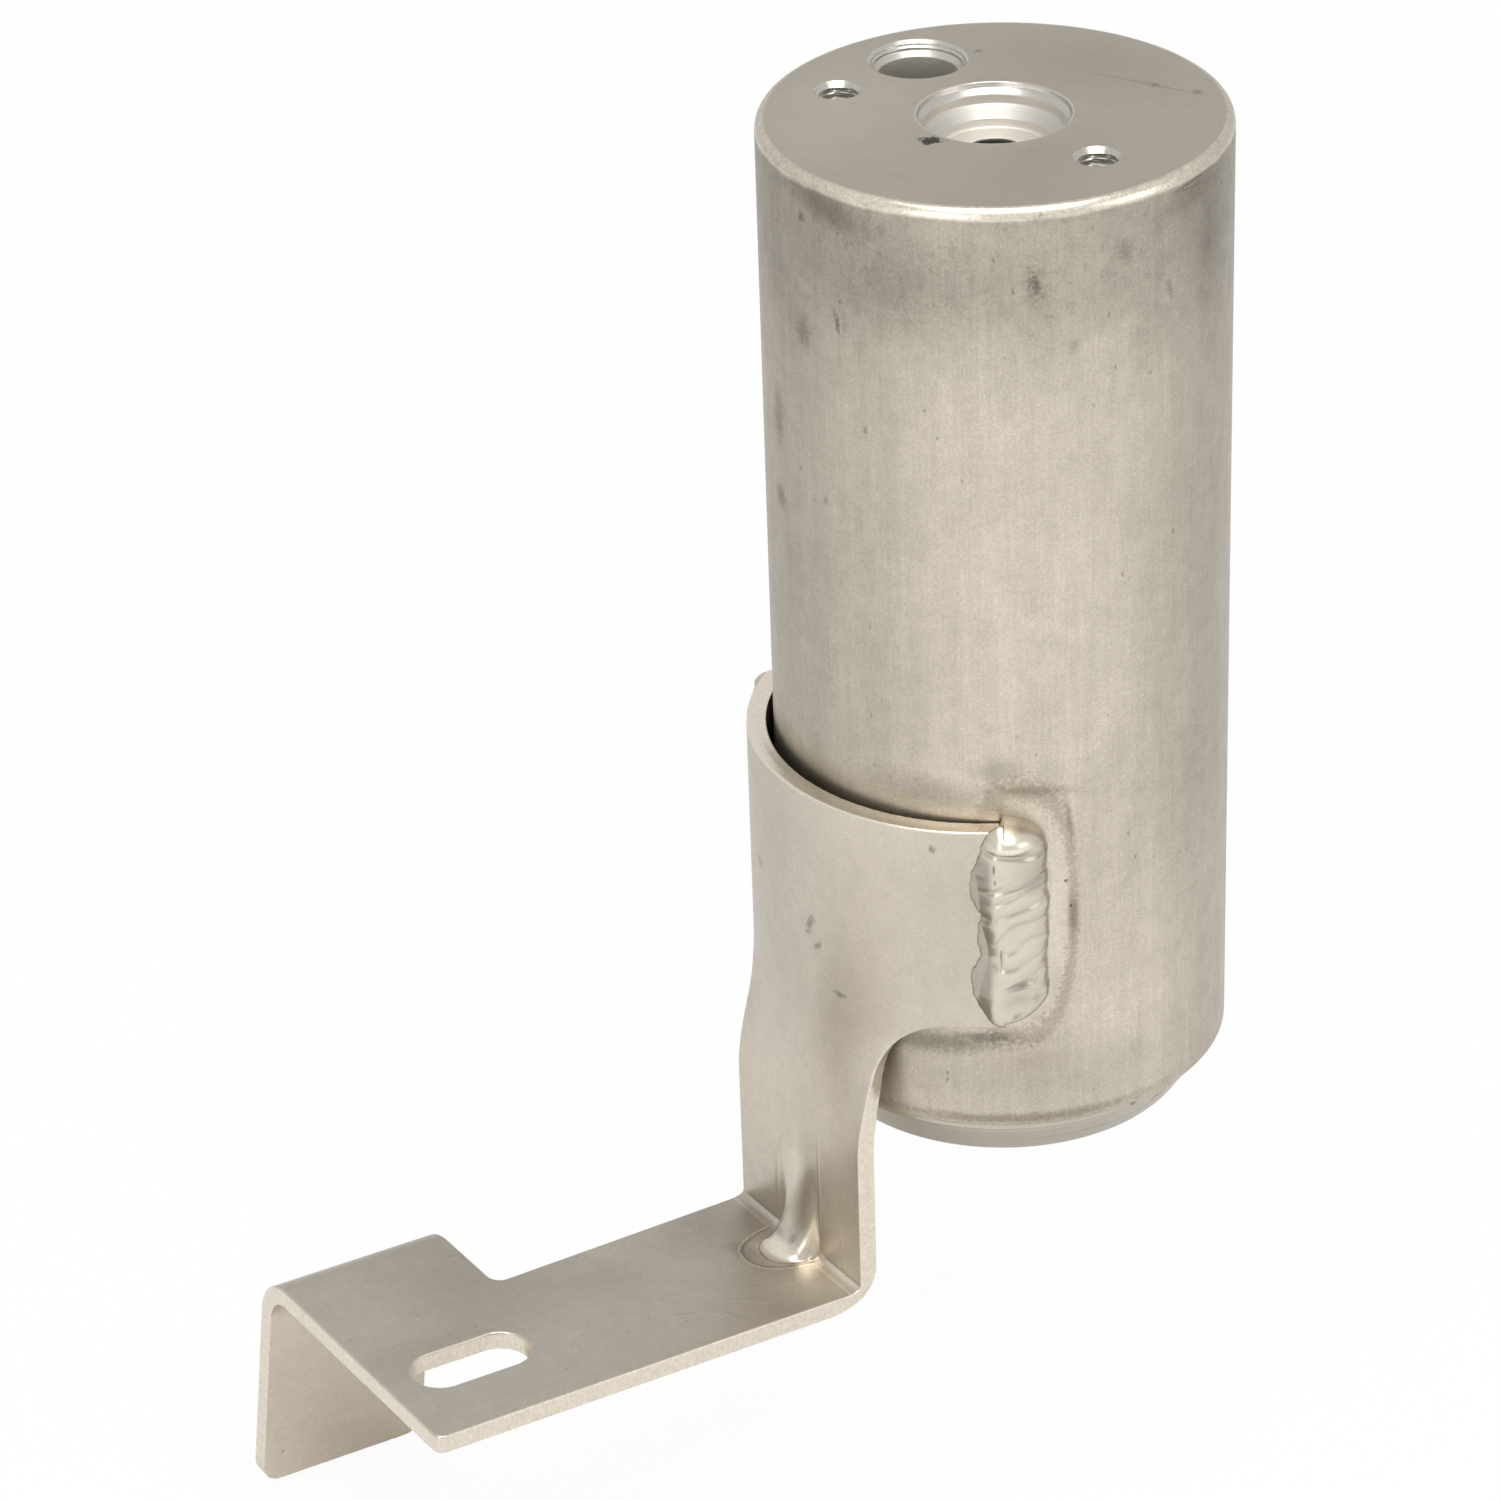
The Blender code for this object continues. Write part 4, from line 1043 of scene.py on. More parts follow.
    def place(self, u: Array, v: Array, w: Array) -> Array:
        """Folds blank points: the leg on its fading cylinder, the bend, the plate and the flange.

        Args:
            u: Distance down the blank from the saddle's top edge.
            v: Distance across it.
            w: Height through the sheet, positive towards the can and the underside.

        Returns:
            One row of x, y, z per point.
        """
        curve = self.curvature(u)
        turn = v * curve
        radius = 1.0 / curve
        leg = np.stack([self.leg_x + radius * (1.0 - np.cos(turn)) + w * np.cos(turn),
                        (radius - w) * np.sin(turn), self.size.saddle_top - u], -1)
        inner, outer = self.bend_face(u, v, -self.half), self.bend_face(u, v, self.half)
        bend = inner + (outer - inner) * ((w + self.half) / self.size.sheet)[:, None]
        past = np.clip(v - self.size.flange_bend, 0.0, None)
        fold = np.minimum(past / self.flange_radius, self.size.flange_angle)
        straight = np.clip(past - self.flange_arc, 0.0, None)
        r = self.flange_radius - w
        y = np.where(past > 0.0, self.size.flange_bend + r * np.sin(fold)
                     + straight * np.cos(fold), v)
        drop = np.where(past > 0.0, self.flange_radius - r * np.cos(fold)
                        + straight * np.sin(fold), w)
        plate = (self.plate_start + (u - self.bend_end)[:, None] * self.out
                 + drop[:, None] * self.down)
        plate[:, 1] = y
        return np.where((u <= self.dart_top)[:, None], leg,
                        np.where((u < self.dart_end)[:, None], bend, plate))


def rounded_outline(corners: list[tuple[float, float, float]]) -> Array:
    """A closed outline from (u, v, radius) corners, each replaced by an arc.

    Args:
        corners: The corners and their radii, 0 for a sharp one.

    Returns:
        The outline's points.
    """
    points = []
    for i, (u, v, radius) in enumerate(corners):
        corner = np.array([u, v])
        if radius <= 0.0:
            points.append(corner[None])
            continue
        back = np.array(corners[i - 1][:2]) - corner
        ahead = np.array(corners[(i + 1) % len(corners)][:2]) - corner
        back, ahead = back / np.linalg.norm(back), ahead / np.linalg.norm(ahead)
        half = math.acos(np.clip(back @ ahead, -1.0, 1.0)) / 2
        middle = back + ahead
        centre = corner + middle / np.linalg.norm(middle) * radius / math.sin(half)
        start = corner + back * radius / math.tan(half) - centre
        end = corner + ahead * radius / math.tan(half) - centre
        turn = math.atan2(start[0] * end[1] - start[1] * end[0], start @ end)
        a = np.linspace(0.0, turn, ARC_STEPS + 1)
        points.append(centre + np.stack([start[0] * np.cos(a) - start[1] * np.sin(a),
                                         start[0] * np.sin(a) + start[1] * np.cos(a)], -1))
    return np.vstack(points)


def outward(loop: Array) -> Array:
    """Mitred normals of an anticlockwise closed line, long enough to keep the offset's width."""
    side = np.roll(loop, -1, axis=0) - loop
    side /= np.maximum(np.linalg.norm(side, axis=1, keepdims=True), 1e-9)
    normal = np.stack([side[:, 1], -side[:, 0]], -1)
    before = np.roll(normal, 1, axis=0)
    share = 1.0 + (normal * before).sum(1, keepdims=True)
    return (normal + before) / np.maximum(share, 0.4)


def anticlockwise(loop: Array) -> Array:
    """The loop, turned round if its area comes out negative."""
    after = np.roll(loop, -1, axis=0)
    area = (loop[:, 0] * after[:, 1] - loop[:, 1] * after[:, 0]).sum()
    return loop if area > 0 else loop[::-1].copy()


@dataclass
class FootBracket:
    """The folded sheet bracket with its sheared edge all round."""

    size: BracketSizes = field(default_factory=BracketSizes)
    roll: float = 0.32
    tear: float = 0.045
    step: float = 0.6

    def outline(self, fold: FoldMap) -> Array:
        """The blank's outline."""
        s = self.size
        wide, foot = fold.saddle_half, fold.u_at_z(s.saddle_bottom)
        neck, end = fold.u_at_x(s.flange_start_x), fold.u_at_x(s.foot_end_x)
        return anticlockwise(resampled(rounded_outline([
            (0.0, -wide, 0.0), (0.0, wide, 0.0), (foot, wide, 0.0),
            (foot, s.leg_half, s.leg_fillet), (fold.bend_end, s.leg_half, 0.0),
            (neck, s.foot_rear, s.neck_fillet), (neck, fold.flange_end, s.flange_corner),
            (end, fold.flange_end, s.flange_corner), (end, -s.leg_half, s.foot_corner),
            (foot, -s.leg_half, s.leg_fillet), (foot, -wide, 0.0)]), self.step, closed=True))

    def slot(self, fold: FoldMap) -> Array:
        """The slot's outline: two half circles joined by straight sides."""
        s = self.size
        r, reach = s.slot_width / 2, (s.slot_length - s.slot_width) / 2
        a = np.linspace(-np.pi / 2, np.pi / 2, 22)
        right = np.stack([reach + r * np.cos(a), r * np.sin(a)], -1)
        loop = np.vstack([right, -right]) + np.array([fold.u_at_x(s.slot_x), s.slot_y])
        return anticlockwise(resampled(loop, self.step, closed=True))

    def edge_profile(self) -> Array:
        """The sheared edge: rollover, burnished band, torn band and burr, as (inset, w share)."""
        return np.array([
            (1.0, -1.0), (0.55, -0.985), (0.22, -0.93), (0.05, -0.84), (0.0, -0.72), (0.0, -0.4),
            (0.0, -0.1), (0.02, 0.1), (0.12, 0.3), (0.20, 0.55), (0.24, 0.8), (0.22, 0.95),
            (0.30, 1.0), (1.0, 1.0)])

    def edge_strip(self, fold: FoldMap, loop: Array, hole: bool,
                   seed: int) -> tuple[Array, Array, Array]:
        """The strip that joins the two faces along one outline.

        The torn band is moved in and out by noise that is drawn out through the sheet.

        Args:
            fold: The fold map.
            loop: The outline.
            hole: Whether the outline is a hole's.
            seed: Picks the noise.

        Returns:
            The strip's grid, its chart and the flat outline of the faces' inner edge.
        """
        normal = outward(loop) * (-1.0 if hole else 1.0)
        profile = self.edge_profile()
        inset = profile[:, :1] * self.roll
        place = np.column_stack([loop, np.zeros(len(loop))])
        torn = smooth_step(-0.3, 0.2, profile[:, 1])[:, None] * (profile[:, :1] < 0.9)
        ragged = wave_noise(place, 1.6, seed) + 0.6 * wave_noise(place, 0.9, seed + 1)
        shift = torn * self.tear * np.clip(ragged, -1.5, 0.6)[None]
        u = loop[:, 0] - inset * normal[:, 0] + shift * normal[:, 0]
        v = loop[:, 1] - inset * normal[:, 1] + shift * normal[:, 1]
        w = np.broadcast_to(profile[:, 1:] * fold.half, u.shape)
        grid = fold.place(u.ravel(), v.ravel(), w.ravel()).reshape(*u.shape, 3)
        return grid, np.stack([u, v, w], -1), loop - normal * self.roll

    def build(self) -> bpy.types.Object:
        """Builds both faces and the sheared edges as one closed skin.

        Returns:
            The bracket.
        """
        fold = FoldMap(self.size)
        outline, slot = self.outline(fold), self.slot(fold)
        made = SurfaceMesh("folded_foot_bracket")
        zone = smooth_step(1.0, 0.3, self.edge_profile()[:, 0])[:, None]
        loops = []
        for seed, (loop, hole) in enumerate(((outline, False), (slot, True))):
            grid, chart, inner = self.edge_strip(fold, loop, hole, 20 + seed)
            made.add_grid(grid, zone, chart)
            loops.append(inner)
        lines = self.grid_lines(fold)
        inner = np.stack(np.meshgrid(*lines, indexing="ij"), -1).reshape(-1, 2)
        points, faces = filled(loops, inner, 0.3)
        for w in (-fold.half, fold.half):
            level = np.full(len(points), w)
            if w < 0.0:
                level += fold.coining(points[:, 0], points[:, 1])
            place = fold.place(points[:, 0], points[:, 1], level)
            made.add_triangles(place, faces, np.column_stack([points, level]))
        obj = made.build(sharp=38.0)
        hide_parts("mounting_bracket")
        return obj

    def grid_lines(self, fold: FoldMap) -> tuple[Array, Array]:
        """Lines along and across the blank, closer over the dart and the bend."""
        top, low = fold.dart_top, fold.dart_end
        end = fold.u_at_x(self.size.foot_end_x)
        along = np.concatenate([
            np.arange(0.7, top - 0.5, 1.1), np.arange(top - 0.3, fold.bend_start - 0.2, 0.42),
            np.arange(fold.bend_start, fold.bend_end + 2.0, 0.26),
            np.arange(fold.bend_end + 2.3, low + 1.0, 0.4), np.arange(low + 1.6, end, 1.1)])
        across = np.concatenate([
            np.arange(-fold.saddle_half, -7.2, 1.0), np.arange(-7.0, -3.9, 0.2),
            np.arange(-3.6, 3.9, 0.4), np.arange(4.1, 8.1, 0.2),
            np.arange(8.8, fold.flange_end, 1.0)])
        return along, across


@dataclass(frozen=True)
class Hill:
    """A rounded hill on a bead: its middle, its height and how far it reaches each way."""

    along: float
    z: float
    height: float
    reach_along: float
    reach_z: float

    def rise(self, along: Array, z: Array) -> Array:
        """Its height at places on the bead, falling off as exp(-square of the way out)."""
        return self.height * np.exp(-((along - self.along) / self.reach_along) ** 2
                                    - ((z - self.z) / self.reach_z) ** 2)


@dataclass
class WeldBead:
    """A fillet bead that closes one end of the saddle."""

    side: Side
    size: BracketSizes = field(default_factory=BracketSizes)
    can_radius: float = 32.5
    bottom: float = 26.5
    top: float = 59.0
    rear_top: float = 57.6
    saddle_toe: tuple[tuple[float, float], ...] = (
        (26.5, 2.4), (29.0, 2.6), (33.0, 3.7), (35.5, 3.8), (38.3, 2.5), (41.0, 2.9), (43.2, 2.8),
        (44.8, 2.3), (47.8, 3.8), (51.5, 3.7), (54.6, 2.6), (59.0, 2.3))
    on_can: float = 6.6
    crown: float = 1.3
    end_round: float = 5.0
    edge: float = 0.5
    seat_gap: float = 0.03
    ripple_pitch: float = 2.8
    ripple_depth: float = 0.26
    hills: tuple[Hill, Hill] = (Hill(1.6, 57.2, 0.85, 3.2, 1.9), Hill(3.9, 52.8, 0.40, 2.8, 2.3))
    rows: int = 220
    columns: int = 96

    def end_azimuth(self) -> float:
        """Azimuth from the -X side where the saddle's inner face ends."""
        s = self.size
        return math.atan2(s.saddle_inner * math.sin(s.saddle_angle),
                          s.saddle_offset + s.saddle_inner * math.cos(s.saddle_angle))

    def sheet_height(self, along: Array) -> Array:
        """Height of the saddle's outer face above the can, along millimetres past its end."""
        azimuth = self.end_azimuth() + along / self.can_radius
        offset, outer = self.size.saddle_offset, self.size.saddle_inner + self.size.sheet
        return (offset * np.cos(azimuth) + np.sqrt(outer ** 2 - (offset * np.sin(azimuth)) ** 2)
                - self.can_radius)

    def ripples(self, along: Array, z: Array) -> tuple[Array, Array]:
        """The bead's frozen ripples, its two hills and the end crater.

        Ripples are the absolute value of a sine of height less 0.6 of the way along, so they
        climb away from the saddle. The crater is an elliptical dip with a raised rim, and troughs
        part the hills.

        Args:
            along: Millimetres past the saddle's end, round the can.
            z: Height up the can.

        Returns:
            The height in millimetres and how dark the metal is, 0 to 1.
        """
        place = np.stack([along, np.zeros_like(along), z], -1)
        stir = 1.3 * wave_noise(place, 9.0, 31) + 0.35 * wave_noise(place, 3.5, 32)
        climb = z - 0.6 * along + 0.035 * along ** 2 + stir
        wave = np.abs(np.sin(np.pi * climb / self.ripple_pitch))
        rippled = smooth_step(32.5, 36.5, z) * (1.0 - smooth_step(49.5, 51.5, z))
        rippled = rippled * smooth_step(-2.2, -0.6, along)
        ripple = self.ripple_depth * (wave ** 0.7 - 0.5) * rippled
        blob, lobe = (hill.rise(along, z) for hill in self.hills)
        trough = np.exp(-((z - 55.0 + 0.15 * (along - 2.0)) / 0.45) ** 2)
        trough = np.maximum(trough, 0.7 * np.exp(-((z - 50.6 - 0.25 * (along - 4.0)) / 0.4) ** 2))
        reach = np.sqrt(((along - 2.5) / 3.9) ** 2 + ((z - 30.0) / 4.2) ** 2)
        crater = 1.0 - smooth_step(0.1, 0.85, reach)
        rim = np.exp(-((reach - 0.97) / 0.13) ** 2) * smooth_step(-3.5, 4.5, along)
        lump = 0.09 * wave_noise(place, 4.5, 33)
        height = ripple + blob + lobe - 0.30 * trough - 0.95 * crater + 0.45 * rim + lump
        fade = 0.35 + 0.65 * smooth_step(-0.6, 0.8, wave_noise(place, 6.0, 37))
        valley = np.exp(-(wave / 0.26) ** 2) * rippled * fade
        band = smooth_step(-0.6, -1.6, along) * smooth_step(27.5, 29.0, z)
        band = band * (1.0 - smooth_step(53.5, 55.0, z))
        dark = np.maximum(np.maximum(0.45 * valley, 0.5 * trough * fade),
                          np.maximum(0.75 * band, 0.20 * crater))
        return height, dark

    def build(self) -> bpy.types.Object:
        """Builds the bead between its two toes as one closed skin.

        The bead's top is a quarter ellipse down to the can on one side and down to the sheet on
        the other, with the ripples added, and its seat follows the sheet and the can.

        Returns:
            The bead.
        """
        top = self.top if self.side is Side.FRONT else self.rear_top
        even = np.linspace(0.0, 1.0, self.rows)
        crowded = (1 - np.cos(np.pi * even)) / 2
        z = self.bottom + (top - self.bottom) * (0.15 * even + 0.85 * crowded)
        from_end = np.minimum(z - self.bottom, top - z) / self.end_round
        t = 1.0 - np.clip(from_end, 0.0, 1.0)
        size = np.sqrt(np.maximum(1.0 - t * t, 0.0))[:, None]
        across = np.sin(np.linspace(-np.pi / 2, np.pi / 2, self.columns))[None]
        heights, reaches = np.array(self.saddle_toe).T
        toe = np.interp(z, heights, reaches)[:, None]
        waver = wave_noise(np.stack([z, z * 0.3, z * 0.1], -1), 5.0, 35)[:, None]
        nibbled = wave_noise(np.stack([z, z * 0.5, z * 0.2], -1), 1.6, 36)[:, None]
        toe = toe + 0.18 * nibbled + 0.12 * waver
        along = np.where(across < 0, across * toe,
                         across * self.on_can * (1.0 + 0.05 * waver + 0.015 * nibbled)) * size
        seat_sheet = self.sheet_height(along)
        low = np.where(along < self.edge, seat_sheet, 0.0) + self.seat_gap
        crown = self.sheet_height(np.zeros(1)) + 0.75 + self.crown * size
        base = np.where(across < 0, seat_sheet, 0.0) + self.seat_gap
        upright = np.broadcast_to(z[:, None], along.shape)
        dome = np.sqrt(np.maximum(1.0 - across ** 2, 0.0))
        leaning = upright[..., None] * np.array([1.0, 0.2, 0.1])
        shoulder = 1.1 * wave_noise(leaning, 10.0, 39) - 1.4
        bulge = np.clip((along - shoulder + 0.9) / 2.4, 0.0, 1.0)
        bulge = np.sin(bulge * np.pi / 2)
        high = base + (crown - base) * dome * (0.34 + 0.66 * bulge)
        height, dark = self.ripples(along, upright)
        high = high + height * dome ** 0.7 * size * (1 - t[:, None] ** 4) * (0.3 + 0.7 * bulge)
        closing = np.sqrt(1.0 - t[:, None] ** 8)
        high = np.maximum(low + (high - low) * closing, low + 0.05 * np.sqrt(dome) * closing)
        made = SurfaceMesh(f"{self.side.name.lower()}_weld_bead")
        chart = np.stack([along, upright, high], -1)
        under = slice(-2, 0, -1)
        skin = np.hstack([self.place(along, high, z[:, None]),
                          self.place(along, low, z[:, None])[:, under]])
        made.add_grid(skin, np.hstack([dark, dark[:, under]]),
                      np.hstack([chart, chart[:, under]]))
        obj = made.build(sharp=50.0, weld=0.00001)
        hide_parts(f"bracket_weld_{self.side.name.lower()}")
        return obj

    def place(self, along: Array, height: Array, z: Array) -> Array:
        """Points from distance past the sheet's end, height above the can and z."""
        azimuth = math.pi - self.side.value * (self.end_azimuth() + along / self.can_radius)
        radius = self.can_radius + height
        return np.stack([radius * np.cos(azimuth), radius * np.sin(azimuth),
                         np.broadcast_to(z, along.shape)], -1)


class MetalPainter:
    """Makes a bare-metal material from its finish. Subclasses add their piece's own marks."""

    def __init__(self, effects: EffectLibrary, finish: MetalFinish) -> None:
        self.effects = effects
        self.finish = finish

    def make(self) -> bpy.types.Material:
        """Builds the material.

        Returns:
            The material.
        """
        finish = self.finish
        material = bpy.data.materials.new(finish.name)
        material.use_nodes = True
        graph = Graph(material.node_tree)
        shader = material.node_tree.nodes["Principled BSDF"]
        place = graph.position()
        mottle = graph.group(self.effects.mottle(), Vector=place).outputs
        lines = self.lines(graph, place)
        specks = graph.group(self.effects.pits(), Vector=graph.vector(
            "MULTIPLY", place, (1.0, 1.0, 0.55)), Scale=0.9, Share=finish.specks,
            Size=0.26).outputs["Mask"]
        level = graph.toned(graph.product(
            graph.swing(mottle["Clouds"], finish.clouds),
            graph.swing(mottle["Blotches"], finish.blotches),
            graph.swing(mottle["Grain"], finish.grain), graph.swing(lines, finish.streaks),
            self.facing(graph)), specks, -0.22)
        level, brown, rough, pale = self.marked(graph, place, level)
        brown = graph.math("MAXIMUM", brown, graph.math("MULTIPLY", specks, 0.3))
        tint = graph.mix(pale, finish.colour, finish.machined)
        tint = graph.mix(brown, tint, finish.stain)
        tint = graph.mix(1.0, tint, graph.joined(level, level, level), "MULTIPLY")
        graph.feed(shader.inputs["Base Color"], tint)
        graph.feed(shader.inputs["Roughness"], graph.product(
            rough, finish.roughness, graph.swing(mottle["Blotches"], -finish.rough_swing)))
        shader.inputs["Metallic"].default_value = finish.metallic
        height = graph.math("ADD", graph.math("ADD", mottle["Grain"], lines),
                            graph.math("MULTIPLY", specks, -2.0))
        graph.feed(shader.inputs["Normal"], graph.bump(height, finish.grain_depth * MM))
        return material

    def lines(self, graph: Graph, place: bpy.types.NodeSocket) -> bpy.types.NodeSocket:
        """The lines that the piece's making leaves, as noise round a half."""
        if self.finish.lines is Grain.DRAWN:
            return graph.group(self.effects.streaks(), Vector=place).outputs["Value"]
        if self.finish.lines is Grain.TURNED:
            return graph.group(self.effects.rings(), Vector=place).outputs["Value"]
        rolled = graph.vector("MULTIPLY", place, (0.12, 1.4, 1.0))
        return graph.noise(rolled, 1.0, 2.0, 0.5)

    def facing(self, graph: Graph) -> bpy.types.NodeSocket:
        """The oxide skin's duller look towards the outlines."""
        weight = graph.node("ShaderNodeLayerWeight")
        weight.inputs["Blend"].default_value = 0.5
        return graph.ramp(weight.outputs["Facing"], 0.12, 0.62, 1.06, self.finish.edge_level)

    def marked(self, graph: Graph, place: bpy.types.NodeSocket, level: object) -> tuple:
        """The piece's own marks.

        Args:
            graph: The material's nodes.
            place: Object coordinates in millimetres.
            level: The colour's level so far.

        Returns:
            The level, the brown tint's share, the factor on the roughness and the share of the
            freshly machined colour.
        """
        return level, 0.0, 1.0, 0.0

    def drawn(self, graph: Graph, chart: bpy.types.NodeSocket, marks: tuple[Mark, ...],
              level: object) -> tuple:
        """Draws marks on a flat map.

        Args:
            graph: The material's nodes.
            chart: The place on the map.
            marks: What to draw.
            level: The colour's level so far.

        Returns:
            The level and the brown tint's share.
        """
        brown = 0.0
        wander = self.wander(graph, chart)
        for mark in marks:
            mask = graph.group(
                self.effects.mark(), Vector=chart, Centre=(*mark.centre, 0.0),
                Size=(*mark.size, 1.0), Turn=math.radians(-mark.turn), Power=mark.power,
                Ring=mark.ring, Soft=mark.soft, Ragged=mark.ragged,
                Wander=wander).outputs["Mask"]
            level = graph.toned(level, mask, mark.level - 1.0)
            if mark.brown > 0.0:
                brown = graph.math("MAXIMUM", brown, graph.math("MULTIPLY", mask, mark.brown))
        return level, brown

    @staticmethod
    def wander(graph: Graph, chart: bpy.types.NodeSocket) -> bpy.types.NodeSocket:
        """Fine noise about 0 that makes the edges of all marks on a map ragged."""
        noise = graph.math("SUBTRACT", graph.noise(chart, 1.3, 5.0, 0.75), 0.5)
        return graph.math("MULTIPLY", noise, 2.0)


class CanPainter(MetalPainter):
    """The can: drawn wall with stains, brushed face, bright shoulder and machined ports."""

    radius = 32.5
    face_radius = 31.25
    face_height = 149.93
    shoulder_heights = (148.5, 149.3)
    seat_heights = (144.9, 144.6)
    shaded_heights = (149.4, 147.4)
    wall_marks = (
        Mark((36.0, 139.1), (0.6, 1.4), 0.66, 0.5, 14.0, 0.9, ragged=2.6),
        Mark((36.0, 138.6), (1.4, 2.6), 0.88, 0.2, 14.0, 0.9, ragged=1.6),
        Mark((48.7, 141.8), (1.1, 1.3), 0.82, 0.1, 0.0, 0.9, ragged=2.2),
        Mark((7.8, 130.5), (0.35, 1.2), 0.74, 0.7, 10.0, 0.9, ragged=2.4),
        Mark((65.8, 138.0), (3.0, 6.5), 0.80, 0.0, 0.0, 0.9, ragged=1.0),
        Mark((56.5, 134.0), (0.35, 1.2), 0.80, 0.2, 10.0, 0.9, ragged=2.2),
        Mark((41.4, 129.6), (0.8, 0.8), 0.86, 0.1, 0.0, 0.9, ragged=2.0),
        Mark((12.2, 115.8), (0.3, 0.6), 0.76, 0.2, 0.0, 0.9, ragged=2.4),
        Mark((-7.0, 98.7), (1.3, 1.6), 0.78, 0.5, 0.0, 0.9, ragged=1.6),
        Mark((-7.0, 111.0), (1.4, 3.6), 0.82, 0.4, 0.0, 0.9, ragged=1.2),
        Mark((4.8, 103.0), (0.3, 0.5), 0.70, 0.1, 0.0, 0.9, ragged=2.4),
        Mark((1.2, 143.8), (0.6, 0.6), 0.76, 0.5, 0.0, 0.9, ragged=2.2),
        Mark((0.8, 127.0), (1.4, 1.8), 0.86, 0.4, 0.0, 0.9, ragged=1.8),
        Mark((6.5, 146.6), (7.0, 2.0), 0.78, 0.4, -12.0, 0.9, ragged=0.9),
        Mark((15.0, 137.0), (7.0, 6.0), 0.86, 0.1, 0.0, 0.9, ragged=0.9),
        Mark((26.0, 138.0), (9.0, 5.0), 0.90, 0.0, 0.0, 0.9, ragged=0.9),
        Mark((61.6, 146.3), (6.0, 1.7), 0.80, 0.1, 8.0, 0.8, ragged=0.8),
        Mark((62.0, 148.1), (4.0, 0.2), 0.65, 0.1, 4.0),
        Mark((60.0, 147.3), (3.0, 0.16), 0.75, 0.0, -6.0),
        Mark((36.0, 84.0), (15.0, 50.0), 1.08, 0.0, 0.0, 0.9, ragged=0.5),
        Mark((17.0, 92.0), (7.0, 40.0), 0.91, 0.0, 0.0, 0.9, ragged=0.6),
        Mark((30.3, 15.6), (16.0, 3.6), 0.86, 0.0, 0.0, 0.9, ragged=0.7),
        Mark((34.5, 18.6), (5.0, 1.6), 1.0, 0.22, 0.0, 0.9),
        Mark((33.0, 8.8), (16.0, 0.7), 0.72, 0.4, 0.0, 0.9, ragged=1.4),
        Mark((58.0, 28.0), (13.0, 20.0), 1.20, 0.0, 0.0, 0.9, ragged=0.5),
        Mark((18.0, 21.0), (13.0, 1.6), 0.60, 0.3, 3.0, 0.8, ragged=0.9),
        Mark((29.0, 22.6), (3.0, 0.8), 0.62, 0.2, 0.0, 0.7, ragged=1.1),
        Mark((21.0, 61.5), (8.0, 2.2), 0.82, 0.2, -8.0, 0.9, ragged=0.9),
        Mark((30.5, 66.0), (3.0, 1.6), 0.80, 0.1, 0.0, 0.9, ragged=0.9),
    )
    halo_marks = (
        Mark((33.4, 42.8), (7.6, 20.2), 1.12, 0.0, 0.0, 0.2, 0.0, 2.4, 0.12),
        Mark((33.4, 42.8), (7.7, 20.3), 0.94, 0.40, 0.0, 0.2, 0.14, 2.4, 0.24),
        Mark((15.0, 55.5), (13.0, 3.5), 1.35, 0.0, 0.0, 0.7, ragged=0.4),
        Mark((34.6, 62.6), (4.6, 0.9), 0.84, 0.7, -6.0, 0.9, ragged=1.6),
        Mark((40.4, 57.0), (0.5, 3.4), 0.84, 0.6, 8.0, 0.9, ragged=1.6),
        Mark((41.0, 41.6), (0.7, 3.8), 0.80, 0.8, 0.0, 0.9, ragged=1.4),
        Mark((39.9, 47.6), (0.26, 0.26), 0.5, 0.6, ragged=1.0),
        Mark((40.6, 43.4), (0.22, 0.26), 0.45, 0.6, ragged=1.0),
    )
    face_marks = (
        Mark((22.3, -5.5), (7.8, 0.30), 0.86, 0.1, -65.0, 0.9, ragged=1.6),
        Mark((22.6, -6.0), (0.6, 0.5), 0.84, 0.4, 0.0, 0.9, ragged=2.0),
        Mark((25.6, -11.4), (0.6, 0.5), 0.84, 0.4, 0.0, 0.9, ragged=2.0),
        Mark((-12.4, -2.8), (1.3, 1.1), 0.10, 0.3, -12.0, 0.25, power=4.0, ragged=2.2),
        Mark((10.5, 18.5), (0.5, 0.4), 0.72, 0.3, 0.0, 0.9, ragged=2.0),
        Mark((20.0, 6.0), (9.0, 13.0), 0.90, 0.0, 20.0, 0.9, ragged=0.9),
        Mark((-8.0, -20.0), (12.0, 6.0), 0.92, 0.0, 25.0, 0.9, ragged=0.7),
        Mark((-17.0, 13.0), (14.0, 9.0), 1.12, 0.0, 30.0, 0.9, ragged=0.5),
    )

